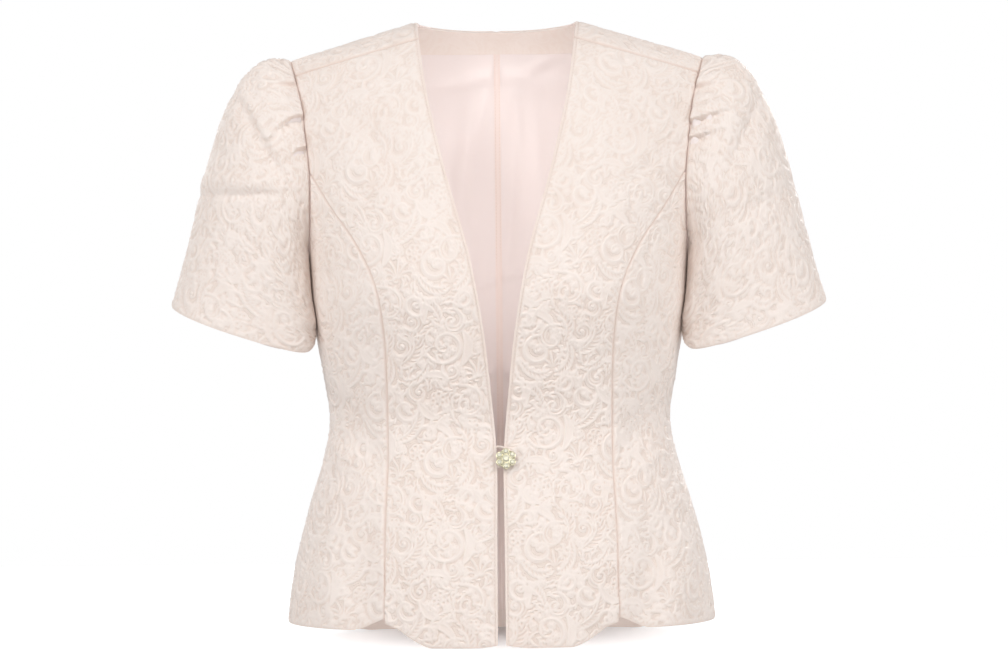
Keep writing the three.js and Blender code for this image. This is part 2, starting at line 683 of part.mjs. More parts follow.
// The cord loop, a tube on its line.
function buttonLoop() {
  const line = new THREE.CatmullRomCurve3(LOOP_LINE.map(({ x, y, height }) => new THREE.Vector3(x, y, height)));
  const corners = evenly(0, 2 * Math.PI, LOOP.sides).slice(0, -1);
  const section = new THREE.Shape(
    corners.map((turn) => new THREE.Vector2(LOOP.radius * Math.cos(turn), LOOP.radius * Math.sin(turn))),
  );
  return namedMesh(
    "button_loop",
    new THREE.ExtrudeGeometry(section, { extrudePath: line, steps: LOOP.steps, bevelEnabled: false }),
    brocade,
  );
}

// The button, built along +Z and then turned to stand on the left front's cloth.
function buttonGroup() {
  const seat = bodyPoint(FRONT, 1, angleAt(BUTTON.x, BUTTON.level), BUTTON.level);
  const group = new THREE.Group();
  group.position.copy(seat.point);
  group.quaternion.setFromRotationMatrix(
    new THREE.Matrix4().makeBasis(
      new THREE.Vector3(1, 0, 0),
      seat.out.clone().cross(new THREE.Vector3(1, 0, 0)).normalize(),
      seat.out.clone().setX(0).normalize(),
    ),
  );
  const shank = namedMesh(
    "button_shank",
    new THREE.CylinderGeometry(SHANK.radius, SHANK.radius, SHANK.length, SHANK.sides).rotateX(Math.PI / 2),
    gilt,
  );
  shank.position.z = SHANK.gap + SHANK.length / 2;
  const plate = buttonPlate();
  plate.position.z = SHANK.gap + SHANK.length + SEAT_GAP;
  const stones = buttonStones();
  for (const stone of stones) stone.position.z = plate.position.z + BUTTON_PLATE + SEAT_GAP;
  group.add(shank, plate, ...stones, buttonLoop());
  return group;
}

const jacket = new THREE.Group();
for (const side of SIDES) {
  jacket.add(frontPanel(side), sideFrontPanel(side), backPanel(side), backLining(side), sleeve(side));
}
jacket.add(neckFacing(), buttonGroup());

export default jacket;
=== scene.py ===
# %% [markdown]
# # A short-sleeved suit jacket in relief-woven brocade
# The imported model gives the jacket's size and place: every panel, the button and its loop. Here
# each panel is worked out again as a much finer surface, so that the raised scrolls of the
# brocade, the seams and the stitches can stand in real relief. The panels stay where they are.

# %% Load the frame
import json
import bpy
import numpy as np
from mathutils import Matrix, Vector

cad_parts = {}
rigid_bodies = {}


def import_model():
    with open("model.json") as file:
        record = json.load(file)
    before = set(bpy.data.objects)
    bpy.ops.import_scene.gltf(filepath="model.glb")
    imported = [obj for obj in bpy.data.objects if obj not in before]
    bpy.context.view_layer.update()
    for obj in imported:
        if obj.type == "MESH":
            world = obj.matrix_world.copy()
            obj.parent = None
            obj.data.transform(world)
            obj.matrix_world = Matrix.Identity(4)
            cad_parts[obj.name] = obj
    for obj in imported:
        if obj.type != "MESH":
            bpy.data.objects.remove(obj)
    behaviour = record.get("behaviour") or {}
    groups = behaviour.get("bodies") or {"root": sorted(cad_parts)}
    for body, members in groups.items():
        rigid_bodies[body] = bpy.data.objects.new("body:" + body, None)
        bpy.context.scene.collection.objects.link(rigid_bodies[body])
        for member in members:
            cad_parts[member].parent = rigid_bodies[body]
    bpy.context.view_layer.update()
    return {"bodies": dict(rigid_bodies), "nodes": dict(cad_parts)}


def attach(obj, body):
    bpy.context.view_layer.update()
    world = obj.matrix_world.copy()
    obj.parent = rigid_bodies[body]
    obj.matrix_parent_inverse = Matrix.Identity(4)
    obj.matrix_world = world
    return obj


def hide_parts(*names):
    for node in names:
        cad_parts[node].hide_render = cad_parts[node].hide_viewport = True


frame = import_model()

print("nodes in the frame:", len(frame["nodes"]))

# %% [markdown]
# ## The form of the body
# A real jacket takes its form from its cut: wide at the bust and the hip, narrow at the waist. A
# mesh of it could be modelled by hand round a dress form. It is worked out here from a short table
# of sections, because each panel is then a piece of one smooth body and meets its neighbours.
# Everything is in millimetres until a mesh is made. The wearer's left is +X, the front is -Y, and
# a level is a height below the neck points, which bends with the shoulder's slope at the top.

# %% Tables of the body
FRONT, BACK = -1, 1
HEM, UNDERARM, PRINCESS_TOP, SHOULDER = -600.0, -244.0, -135.0, 0.0
SECTION_POWER = 2.3


def table(names, rows):
    """Rows of numbers as a dictionary of named columns."""
    return dict(zip(names.split(), np.array(rows, float).T))


SECTIONS = table("level half_width front back", [
    (-620, 212.5, 152, 154), (-600, 210.5, 151, 152), (-530, 200.5, 144, 147),
    (-468, 185, 131, 131), (-430, 173, 120, 113), (-390, 165.7, 114, 101),
    (-345, 171.3, 122, 105), (-275, 183.2, 134, 116), (-244, 185.5, 133, 120),
    (-198, 190, 128, 123), (-163, 196.5, 123, 124), (-110, 201.5, 114, 122), (0, 207, 98, 110),
])
ARMHOLE = table("level x", [
    (-244, 185.5), (-198, 181.7), (-160, 180.8), (-135, 181.2), (-89, 186), (-58, 189),
    (-33, 194), (0, 201.5),
])
PRINCESS_SEAM = table("level x", [
    (-620, 113.5), (-570, 111.6), (-514, 110.2), (-467, 108.6), (-400, 107), (-343, 107.2),
    (-295, 110), (-257, 117.7), (-216, 135.9), (-178, 159.1), (-135, 181.2),
])
FRONT_EDGE = table("level x", [
    (-620, 4.0), (-592, 3.8), (-500, 3.5), (-430, 3.0), (-400, 4.6), (-361, 8.2), (-307, 14.0),
    (-265, 20.6), (-227, 28.3), (-154, 49.4), (-73, 67.6), (0, 78),
])
# Folds of the worn cloth: turn is the angle of a fold's length from upright, in degrees, and a
# rise below 0 is a trough.
FOLDS = table("face x z turn length width rise", [
    (FRONT, -141, -388, -32, 52, 15, -5.5), (FRONT, -160, -352, -28, 45, 12, 2.5),
    (FRONT, 138, -392, 30, 46, 14, -5), (FRONT, 158, -356, 24, 42, 12, 2.5),
    (FRONT, -129, -545, -3, 62, 13, -5), (FRONT, -160, -560, -6, 55, 16, 4),
    (FRONT, 137, -555, 8, 66, 13, -5), (FRONT, 166, -560, 10, 55, 15, 4),
    (FRONT, -62, -548, -12, 70, 26, 3), (FRONT, 66, -552, 12, 66, 26, 3),
    (FRONT, -30, -462, -74, 26, 7, -2), (FRONT, -118, -120, -42, 60, 15, -2),
    (BACK, -128, -540, -4, 70, 20, 5), (BACK, -92, -555, -2, 60, 14, -4),
    (BACK, 124, -545, 5, 66, 20, 5), (BACK, 86, -550, 3, 62, 14, -4),
    (BACK, -112, -372, -34, 50, 14, -4), (BACK, 116, -378, 30, 46, 14, -4),
    (BACK, -60, -118, 70, 48, 13, -2),
])
print("sections:", len(SECTIONS["level"]), " folds:", len(FOLDS["x"]))


# %% Smooth curves through the tables
def clamp01(t):
    return np.clip(t, 0.0, 1.0)


def ease(t):
    """Rises from 0 to 1 with level ends."""
    t = clamp01(t)
    return t * t * (3 - 2 * t)


def bell(t):
    return np.exp(-t * t)


def curve(rows, column):
    """A smooth curve through one column of a table. Between two rows it is the cubic that has the
    rows' own values and slopes, a row's slope being that of the line between its neighbours."""
    at, values = rows["level"], rows[column]
    before = np.maximum(np.arange(len(at)) - 1, 0)
    after = np.minimum(np.arange(len(at)) + 1, len(at) - 1)
    slopes = (values[after] - values[before]) / (at[after] - at[before])

    def value(level):
        i = np.clip(np.searchsorted(at, level, side="left") - 1, 0, len(at) - 2)
        span = at[i + 1] - at[i]
        t = clamp01((level - at[i]) / span)
        rise = t * t * (3 - 2 * t)
        return (values[i] * (1 - rise) + values[i + 1] * rise
                + span * slopes[i] * t * (1 - t) ** 2 - span * slopes[i + 1] * t * t * (1 - t))

    return value


half_width = curve(SECTIONS, "half_width")
depth_of = {FRONT: curve(SECTIONS, "front"), BACK: curve(SECTIONS, "back")}
armhole_x = curve(ARMHOLE, "x")
princess_x = curve(PRINCESS_SEAM, "x")
front_edge_x = curve(FRONT_EDGE, "x")
print("waist, half its width:", float(half_width(np.array(-390.0))))


# %% The shoulder line and the hem line
NECK_HALF_WIDTH, SHOULDER_SLOPE, COLLAR_RISE = 78.0, 0.298, 14.0
# The front hem has a notch at the foot of each princess seam. It reaches further on the front
# panel's side than on the side front's.
NOTCH = dict(x=111.6, front_reach=46, side_reach=32, front_rise=27.5, side_rise=14.5, power=1.4)
NOTCH_FLAT = dict(share=0.17, width=9)
CORNER = dict(reach=30, rise=3.5)
SIDE_HEM_RISE, FRONT_HEM_RISE, BACK_HEM_DROP, BACK_HEM_TURN = 16, 0.5, 6, 130


def shoulder_line(x):
    """Straight outside the neck points, and a low arch between them."""
    arch = COLLAR_RISE * (1 - (x / NECK_HALF_WIDTH) ** 2)
    return np.where(x > NECK_HALF_WIDTH, -SHOULDER_SLOPE * (x - NECK_HALF_WIDTH), arch)


def hem_line(face, x):
    """The hem's height: level at the back and rising to the side seam, and in front rising to a
    notch at the princess seam and a little at the front corner."""
    side = ease((x - BACK_HEM_TURN) / (half_width(np.array(HEM)) - BACK_HEM_TURN))
    if face == BACK:
        return HEM - BACK_HEM_DROP + (BACK_HEM_DROP + SIDE_HEM_RISE) * side
    inside, away = x < NOTCH["x"], x - NOTCH["x"]
    reach = np.where(inside, NOTCH["front_reach"], NOTCH["side_reach"])
    rise = np.where(inside, NOTCH["front_rise"], NOTCH["side_rise"])
    notch = rise * clamp01(1 - np.abs(away) / reach) ** NOTCH["power"]
    notch = notch * (1 - NOTCH_FLAT["share"] * bell(away / NOTCH_FLAT["width"]))
    corner = CORNER["rise"] * clamp01(1 - x / CORNER["reach"]) ** 2
    return np.where(inside, HEM + FRONT_HEM_RISE, HEM + SIDE_HEM_RISE) + notch + corner


edge = np.array([0.0, NOTCH["x"], BACK_HEM_TURN])
print("front hem's height at the corner, the notch and the side:", hem_line(FRONT, edge).round(1))

# %% The body's surface
SEAM_GAP = 0.08
HEM_BLEND = 110
BACK_NECK_DROP, BACK_NECK_POWER = 17.0, 2.2
BUST = dict(x=92, level=-262, across=50, along=58, rise=8)


def fitted_level(face, x, level):
    """The level of a row over x, once rows near the hem and the back neck follow that edge."""
    fitted = level + (hem_line(face, x) - HEM) * ease(1 - (level - HEM) / HEM_BLEND)
    if face == FRONT:
        return fitted
    share = clamp01((level - PRINCESS_TOP) / (SHOULDER - PRINCESS_TOP))
    dip = BACK_NECK_DROP * (1 - clamp01(x / NECK_HALF_WIDTH) ** BACK_NECK_POWER) * share ** 2
    return fitted - np.where(x > NECK_HALF_WIDTH, 0, dip)


def angle_at(x, level):
    return np.arcsin(clamp01(x / half_width(level)) ** (SECTION_POWER / 2))


def x_at(angle, level):
    return half_width(level) * np.sin(angle) ** (2 / SECTION_POWER)


def plain_body(face, sign, angle, level):
    """A point of the body: a section is a rounded square, the angle runs from its middle to the
    side seam, and above the underarm its depth shrinks as a rounded square too, to the shoulder
    line. The bust adds a soft mound over each princess seam."""
    x = x_at(angle, level)
    share = clamp01((level - UNDERARM) / (SHOULDER - UNDERARM))
    roll = (1 - share ** SECTION_POWER) ** (1 / SECTION_POWER)
    around = np.abs(np.cos(angle)) ** (2 / SECTION_POWER)
    bust = BUST["rise"] * bell((x - BUST["x"]) / BUST["across"]) * (face == FRONT)
    bust = bust * bell((level - BUST["level"]) / BUST["along"])
    depth = depth_of[face](level) * around * roll + bust * around
    z = np.where(level > UNDERARM, UNDERARM + (shoulder_line(x) - UNDERARM) * share, level)
    return np.stack([sign * x, face * (depth + SEAM_GAP / 2), z], -1)


# %% Folds on the body
# How far from a point its neighbours are taken, to find the direction outwards there.
STEP_UP, STEP_AROUND = 0.4, 0.004
# The folds die away towards the shoulder, in mm, and towards the side seam, in radians.
FADE_UP, FADE_AROUND = 60, 0.25


def fold_rise(face, point, folds):
    """Sum of long soft mounds and troughs, each a bell across and a bell along its length."""
    rise = np.zeros(point.shape[:-1])
    for i in np.flatnonzero(folds["face"] == face):
        turn = np.radians(folds["turn"][i])
        dx, dz = point[..., 0] - folds["x"][i], point[..., 2] - folds["z"][i]
        along = dx * np.sin(turn) + dz * np.cos(turn)
        across = dx * np.cos(turn) - dz * np.sin(turn)
        rise += folds["rise"][i] * bell(along / folds["length"][i]) * bell(across / folds["width"][i])
    return rise


def unit(v):
    return v / (np.linalg.norm(v, axis=-1, keepdims=True) + 1e-12)


def body_point(face, sign, angle, level):
    """The point with its folds, and the direction outwards there."""
    top = np.minimum(level + STEP_UP, SHOULDER - 1e-6)
    point = plain_body(face, sign, angle, level)
    across = (plain_body(face, sign, np.minimum(angle + STEP_AROUND, np.pi / 2), level)
              - plain_body(face, sign, np.maximum(angle - STEP_AROUND, 0), level))
    up = plain_body(face, sign, angle, top) - plain_body(face, sign, angle, level - STEP_UP)
    out = unit(np.cross(across, up) * (-face * sign))
    fade = ease(-level / FADE_UP) * ease((np.pi / 2 - angle) / FADE_AROUND)
    rise = fold_rise(face, point, FOLDS) * fade
    return point + out * rise[..., None], out


def sunk(face, point, out, depth):
    """The point moved inwards, but never over the side seam or the shoulder seam."""
    moved = point - out * depth
    moved[..., 1] = face * np.maximum(face * moved[..., 1], SEAM_GAP / 2)
    return moved


def roll_levels(start, count):
    """Levels from start to the shoulder, closer together where the shoulder rolls over."""
    first = np.arcsin(((start - UNDERARM) / -UNDERARM) ** (SECTION_POWER / 2))
    turns = np.linspace(first, np.pi / 2, count + 1)
    return UNDERARM - UNDERARM * np.sin(turns) ** (2 / SECTION_POWER)


print("shoulder tip:", plain_body(FRONT, 1, angle_at(201.5, np.array(0.0)), np.array(0.0)).round(1))

# %% [markdown]
# ## The brocade's figure
# Brocade is woven with a raised figure: scrolls, acanthus fronds and small flowers stand above a
# flat, finely ribbed ground. A picture of it could be used as a height map, but it would show only
# that picture's cloth. Here the figure is drawn afresh as strokes, the way a weaver's designer
# draws it, and repeated in half drop: each repeat stands next to one moved half a repeat down.

# %% Strokes
def stroke(x, y, turn, length, bend, wide=1.3, thin=0.3, high=1.0):
    """A line that sets off at turn degrees and turns by bend in all, more and more towards its
    tip. Its half width swells from thin to full and back. Rows are x, y, half width, height."""
    count = max(6, int(length / 0.5))
    s = (np.arange(count) + 0.5) / count
    heading = np.radians(turn + bend * s ** 1.5)
    xs = x + np.cumsum(np.cos(heading)) * length / count
    ys = y + np.cumsum(np.sin(heading)) * length / count
    swell = thin + (1 - thin) * np.sin(np.pi * s ** 1.7) ** 0.7
    return np.stack([xs, ys, wide * swell, np.full(count, high)], 1)


def beside(line, away, wide, high=1.0, start=0.0, end=1.0):
    """A line beside a part of another: it leaves it, runs away to its left, and comes back."""
    part = line[int(start * len(line)):max(3, int(end * len(line)))]
    step = unit(np.gradient(part[:, :2], axis=0))
    out = away * np.sin(np.pi * np.linspace(0, 1, len(part))) ** 0.6
    xs, ys = part[:, 0] - step[:, 1] * out, part[:, 1] + step[:, 0] * out
    return np.stack([xs, ys, np.full(len(part), wide), np.full(len(part), high)], 1)


plain_stroke = stroke(0, 0, 0, 40, 90)
print("a 40 mm stroke has", len(plain_stroke), "points and ends at", plain_stroke[-1, :2].round(1))


# %% Motifs made of strokes
def volute(x, y, turn, radius, turns, hand, wide=1.6):
    """A scroll that winds in to a round eye, with a thin line along each side of its outer turn."""
    s = np.linspace(0, 1, int(radius * turns * 13))
    r = radius * (1 - s) ** 1.15 + 2.4
    a = np.radians(turn) + hand * 2 * np.pi * turns * s
    width = wide * (1.1 - 0.4 * s)
    line = np.stack([x + r * np.cos(a), y + r * np.sin(a), width, np.ones(len(s))], 1)
    eye = np.array([[x, y, 2.3, 1.0]])
    inside = beside(line, hand * 3.3, 0.8, 0.7, 0, 0.62)
    outside = beside(line, -hand * 3.0, 0.8, 0.7, 0.1, 0.5)
    return np.concatenate([line, eye, inside, outside])


def crescent(x, y, turn, length, bend, width):
    """A broad smooth crescent: lines side by side make its low fill, and a ridge edges it."""
    line = stroke(x, y, turn, length, bend, 1.0)
    fill = [beside(line, k, 1.3, 0.5) for k in np.arange(1.6 - width / 2, width / 2 - 1, 1.3)]
    return np.concatenate(fill + [beside(line, side * width / 2, 1.0, 1.1) for side in (-1, 1)])


def frond(x, y, turn, length, bend, reach, wide=1.2):
    """An acanthus leaf: a bent rib whose outer side carries plumes that curl forwards, with
    shorter ones inside."""
    rib = stroke(x, y, turn, length, bend, wide * 1.15, 0.6)
    outer = -np.sign(bend)
    parts = [rib]
    count = max(3, int(round(length / 4.3)))
    for k in range(count):
        s = (k + 0.3) / count
        at = rib[int(s * 0.96 * (len(rib) - 1))]
        heading = turn + bend * s ** 1.5
        swell = np.sin(np.pi * (0.2 + 0.68 * s)) ** 0.8
        long, short = reach * swell * 1.3, reach * swell * 0.65
        parts.append(stroke(at[0], at[1], heading + outer * 62, long, -outer * 95, wide))
        if k % 2:
            parts.append(stroke(at[0], at[1], heading - outer * 58, short, outer * 80, wide))
    return np.concatenate(parts)


def palmette(x, y, turn, radius, plumes, wide=1.25):
    """A fan of plumes from one root, which curl over outwards."""
    parts = []
    for share in np.linspace(-1, 1, plumes):
        away = np.radians(turn + 40 * share)
        root = radius * 0.12
        length = radius * (1.15 - 0.35 * share ** 2)
        parts.append(stroke(x + root * np.cos(away), y + root * np.sin(away), turn + 40 * share,
                            length, 130 * share, wide, 0.25))
    return np.concatenate(parts)


def flower(x, y, turn, radius, petals, wide=0.9):
    """A flower whose petals are closed loops round an eye."""
    a = np.linspace(0, 2 * np.pi, 44, endpoint=False)
    parts = [np.array([[x, y, 1.7, 1.0]])]
    for mid in np.radians(turn) + 2 * np.pi * np.arange(petals) / petals:
        r = radius * (0.35 + 0.65 * (1 - np.cos(a)) / 2)
        off = radius * 0.3 * np.sin(a) * (0.6 + 0.4 * (1 - np.cos(a)))
        xs, ys = x + r * np.cos(mid) - off * np.sin(mid), y + r * np.sin(mid) + off * np.cos(mid)
        parts.append(np.stack([xs, ys, np.full(44, wide), np.full(44, 0.9)], 1))
    return np.concatenate(parts)


# %% The large motifs of one repeat
# The repeat's width and height, and the share of its drawn size at which a motif is woven.
REPEAT = (152.0, 192.0)
DRAWN_SIZE, DRAWN_WIDTH = 0.8, 0.86
# Each row gives a motif's place, its turn in degrees, and its size and bend as its function asks.
SCROLLS = [(46, 54, 205, 22, 1.6, 1), (92, 96, 30, 15, 1.4, -1), (12, 104, 300, 12, 1.3, -1),
           (132, 30, 80, 17, 1.5, 1), (118, 66, 160, 9, 1.2, -1), (68, 112, 250, 9, 1.2, 1)]
CRESCENTS = [(66, 30, 60, 44, 70, 9), (22, 80, 100, 36, -75, 8), (108, 106, -70, 34, 80, 8),
             (150, 60, 120, 38, 80, 8), (20, 16, 20, 32, -70, 7)]
FRONDS = [(76, 58, 20, 52, 80, 15), (24, 34, 250, 40, -85, 12), (40, 84, 110, 38, 80, 12),
          (112, 20, -60, 40, 95, 12), (60, 96, 80, 34, -85, 11), (150, 92, 200, 44, 85, 12),
          (166, 40, -80, 42, -80, 12)]
PALMETTES = [(84, 12, 85, 22, 7), (150, 8, 100, 17, 5), (4, 60, 60, 16, 5)]
FLOWERS = [(106, 44, 10, 10, 7), (172, 76, 0, 8, 6), (132, 108, 20, 9, 6)]
drawn = [volute(*row) for row in SCROLLS] + [crescent(*row) for row in CRESCENTS]
drawn += [frond(*row) for row in FRONDS] + [palmette(*row) for row in PALMETTES]
drawn += [flower(*row) for row in FLOWERS]
drawn = [motif * [DRAWN_SIZE, DRAWN_SIZE, DRAWN_WIDTH, 1] for motif in drawn]
print("large motifs:", len(drawn))


# %% Half drop, and small motifs in the gaps
def half_drop(points):
    """The points and a copy half a repeat across and half a repeat up, wrapped into one repeat."""
    width, height = REPEAT
    both = np.concatenate([points, points + [width / 2, height / 2, 0, 0]])
    both[:, 0] %= width
    both[:, 1] %= height
    return both


def filling(motifs, seed=11, most=90):
    """Small motifs, each at the spot, out of 160 tries, that lies furthest from all strokes."""
    rng = np.random.default_rng(seed)
    taken = half_drop(np.concatenate(motifs))[::5, :2]
    small = []
    for k in range(most):
        spots = rng.uniform([0, 0], REPEAT, (160, 2))
        apart = np.abs(spots[:, None] - taken[None])
        gaps = (np.minimum(apart, np.array(REPEAT) - apart) ** 2).sum(2).min(1)
        spot, room = spots[np.argmax(gaps)], np.sqrt(gaps.max())
        turn, hand = rng.uniform(0, 360), rng.choice([-1, 1])
        root = spot - room * 0.8 * np.array([np.cos(np.radians(turn)), np.sin(np.radians(turn))])
        if room < 2.3:
            break
        if room > 6 and k % 2:
            motif = volute(*spot, turn, room * 1.05, 1.2, hand, 1.1)
        elif room > 4.2:
            motif = frond(*root, turn, 2.6 * room, hand * 90, room, 1.0)
        elif room > 3.3:
            motif = flower(*spot, turn, room, 5, 0.7)
        else:
            motif = np.concatenate([stroke(*root, turn, 2.8 * room, hand * 150, 1.0),
                                    stroke(*root, turn + 25 * hand, 2.2 * room, hand * 120, 1.0)])
        small.append(motif)
        taken = np.concatenate([taken, half_drop(motif)[::5, :2]])
    return small


strokes = half_drop(np.concatenate(drawn + filling(drawn)))
print("points in all strokes:", len(strokes))

# %% Raise the strokes to a height map
TILE_STEP = 0.4
TILE_SHAPE = tuple(int(round(size / TILE_STEP)) for size in reversed(REPEAT))
BEAD_STEPS = 6


def samples_near(points, steps):
    """For every point the samples of one repeat at most some steps away: their rows and columns,
    and how far they lie from the point, across and up."""
    reach = np.arange(-steps, steps + 1)
    step_x, step_y = (grid.ravel() for grid in np.meshgrid(reach, reach))
    ix = np.round(points[:, :1] / TILE_STEP).astype(int) + step_x
    iy = np.round(points[:, 1:2] / TILE_STEP).astype(int) + step_y
    rows, columns = TILE_SHAPE
    return (iy % rows, ix % columns), ix * TILE_STEP - points[:, :1], iy * TILE_STEP - points[:, 1:2]


def raised(points):
    """A height map of one repeat: every point lays down a round bead of its own half width, and
    the highest bead counts."""
    tile = np.zeros(TILE_SHAPE)
    samples, x, y = samples_near(points, BEAD_STEPS)
    half, high = points[:, 2:3], points[:, 3:]
    bead = high * half ** 0.4 * clamp01(1 - (x ** 2 + y ** 2) / (1.25 * half) ** 2)
    np.maximum.at(tile, samples, bead)
    return tile


def away_from(points, furthest=8.0):
    """How far every sample of one repeat is from the nearest stroke's middle, in millimetres."""
    tile = np.full(TILE_SHAPE, furthest)
    samples, x, y = samples_near(points, int(furthest / TILE_STEP))
    np.minimum.at(tile, samples, np.hypot(x, y))
    return tile


def softened(tile, reach):
    """The tile blurred by a round bell of that reach in millimetres, wrapping round its edges."""
    fy = np.fft.fftfreq(tile.shape[0], TILE_STEP)[:, None]
    fx = np.fft.rfftfreq(tile.shape[1], TILE_STEP)[None]
    keep = np.exp(-2 * (np.pi * reach) ** 2 * (fx ** 2 + fy ** 2))
    return np.fft.irfft2(np.fft.rfft2(tile) * keep, tile.shape)


sharp = raised(strokes)
away_tile = softened(away_from(strokes[::3]), 0.4)
ridges = softened(sharp, 0.25)
figure_tile = ridges - 0.55 * np.clip(softened(sharp, 1.3) - 1.05 * ridges, 0, 1)
cushion_tile = softened(sharp, 2.8)
cushion_tile -= cushion_tile.mean()
raised_share = round(float((sharp > 0.1).mean()), 2)
print("height map:", figure_tile.shape, " share that is raised:", raised_share)


def at_cloth(tile, u, v):
    """The tile's value at cloth positions u across and v up, in millimetres, between its samples
    in straight proportion."""
    x, y = u / TILE_STEP, v / TILE_STEP
    i, j = np.floor(y).astype(int), np.floor(x).astype(int)
    fy, fx = y - i, x - j
    rows, columns = tile.shape
    i0, i1, j0, j1 = i % rows, (i + 1) % rows, j % columns, (j + 1) % columns
    return ((tile[i0, j0] * (1 - fx) + tile[i0, j1] * fx) * (1 - fy)
            + (tile[i1, j0] * (1 - fx) + tile[i1, j1] * fx) * fy)


# %% [markdown]
# ## Fine lines in the cloth
# Between the scrolls the real brocade has fine ridges that run beside the figure, and under it all
# are the ribs of its threads. Both are too small for the mesh, where they would need millions of
# points. Here they are bump. Each is a shader node group with named sockets, so that every cloth
# can use it with its own values.

# %% Helpers for node trees
def links(tree, *pairs):
    for out, into in pairs:
        tree.links.new(out, into)


def node(tree, kind, **values):
    made = tree.nodes.new(kind)
    for name, value in values.items():
        if hasattr(made, name):
            setattr(made, name, value)
        else:
            made.inputs[name.replace("_", " ")].default_value = value
    return made


def height_group(name, numbers, vectors=()):
    """A node group that puts out a Height, with a socket for each number and each vector. Gives
    the group, and the nodes at its start and its end."""
    group = bpy.data.node_groups.new(name, "ShaderNodeTree")
    for label, default in numbers:
        socket = group.interface.new_socket(label, in_out="INPUT", socket_type="NodeSocketFloat")
        socket.default_value = default
    for label in vectors:
        group.interface.new_socket(label, in_out="INPUT", socket_type="NodeSocketVector")
    group.interface.new_socket("Height", in_out="OUTPUT", socket_type="NodeSocketFloat")
    return group, node(group, "NodeGroupInput"), node(group, "NodeGroupOutput")


def math_node(tree, operation, second=None, **values):
    """A math node, with its second number set where one is given."""
    made = node(tree, "ShaderNodeMath", operation=operation, **values)
    if second is not None:
        made.inputs[1].default_value = second
    return made


def placed(tree, group, **values):
    """A group's node in a material's tree, with the group's own sockets set."""
    made = node(tree, "ShaderNodeGroup")
    made.node_tree = group
    for name, value in values.items():
        made.inputs[name.replace("_", " ")].default_value = value
    return made


# %% The fine weave
def weave_group():
    """Height = the sine of the ribs across, plus 0.45 times the sine of the threads along, plus
    a little noise."""
    numbers = (("Ribs per metre", 1100.0), ("Threads per metre", 2600.0), ("Slub", 0.25))
    group, inputs, outputs = height_group("Fine weave", numbers, ["Cloth"])
    split = node(group, "ShaderNodeSeparateXYZ")
    links(group, (inputs.outputs["Cloth"], split.inputs[0]))
    waves = []
    for axis, rate in ((1, "Ribs per metre"), (0, "Threads per metre")):
        turns, radians = math_node(group, "MULTIPLY"), math_node(group, "MULTIPLY", 2 * np.pi)
        wave = math_node(group, "SINE")
        links(group, (split.outputs[axis], turns.inputs[0]), (inputs.outputs[rate], turns.inputs[1]),
              (turns.outputs[0], radians.inputs[0]), (radians.outputs[0], wave.inputs[0]))
        waves.append(wave)
    both = math_node(group, "MULTIPLY_ADD", 0.45)
    links(group, (waves[1].outputs[0], both.inputs[0]), (waves[0].outputs[0], both.inputs[2]))
    slub = node(group, "ShaderNodeTexNoise", Scale=900.0, Detail=2.0)
    uneven = math_node(group, "MULTIPLY_ADD")
    links(group, (inputs.outputs["Cloth"], slub.inputs["Vector"]),
          (slub.outputs["Fac"], uneven.inputs[0]), (inputs.outputs["Slub"], uneven.inputs[1]),
          (both.outputs[0], uneven.inputs[2]), (uneven.outputs[0], outputs.inputs["Height"]))
    return group


WEAVE = weave_group()
print(WEAVE.name, "sockets:", [item.name for item in WEAVE.interface.items_tree])


# %% The fine lines beside the figure
def echo_group():
    """Height = the cosine of the distance from the nearest stroke, so ridges run side by side
    along the figure, a spacing apart. They start where the stroke itself ends."""
    group, inputs, outputs = height_group("Echo lines", (("Away", 0.0), ("Spacing", 1.9), ("Start", 0.7)))
    past, ratio = math_node(group, "SUBTRACT"), math_node(group, "DIVIDE")
    radians, wave = math_node(group, "MULTIPLY", 2 * np.pi), math_node(group, "COSINE")
    begun = node(group, "ShaderNodeMapRange", interpolation_type="SMOOTHSTEP", From_Min=0.0, From_Max=0.8)
    result = math_node(group, "MULTIPLY")
    links(group, (inputs.outputs["Away"], past.inputs[0]), (inputs.outputs["Start"], past.inputs[1]),
          (past.outputs[0], ratio.inputs[0]), (inputs.outputs["Spacing"], ratio.inputs[1]),
          (ratio.outputs[0], radians.inputs[0]), (radians.outputs[0], wave.inputs[0]),
          (past.outputs[0], begun.inputs["Value"]), (wave.outputs[0], result.inputs[0]),
          (begun.outputs[0], result.inputs[1]), (result.outputs[0], outputs.inputs["Height"]))
    return group


ECHO = echo_group()
print(ECHO.name, "sockets:", [item.name for item in ECHO.interface.items_tree])

# %% [markdown]
# ## Materials
# The shell's figure is floated silk-like thread, smooth and a little lighter, and its ground is
# duller and pinker. Both could be painted on, but the height of the weave already says which is
# which, so each point of the mesh keeps its height as an attribute and the shader mixes by it. In
# the trenches beside the figure the mix takes the full ground colour, which is painted shade. A
# soft noise shifts that mix in patches, as real dyed thread varies. Along seams, darts and tucks,
# shade is painted into the colour: a second attribute says how much, and it mixes in a darker,
# warmer colour where the light falls less and bounces between two layers. The lining is satin,
# smoother than the shell, with the same painted shade along its seam.

# %% Plain and woven materials
def plain(name, color, roughness, **sockets):
    """A material whose Principled sockets are set directly."""
    material = bpy.data.materials.new(name)
    material.use_nodes = True
    shader = material.node_tree.nodes["Principled BSDF"]
    shader.inputs["Base Color"].default_value = (*color, 1)
    shader.inputs["Roughness"].default_value = roughness
    for socket, value in sockets.items():
        shader.inputs[socket.replace("_", " ")].default_value = value
    return material, material.node_tree, shader


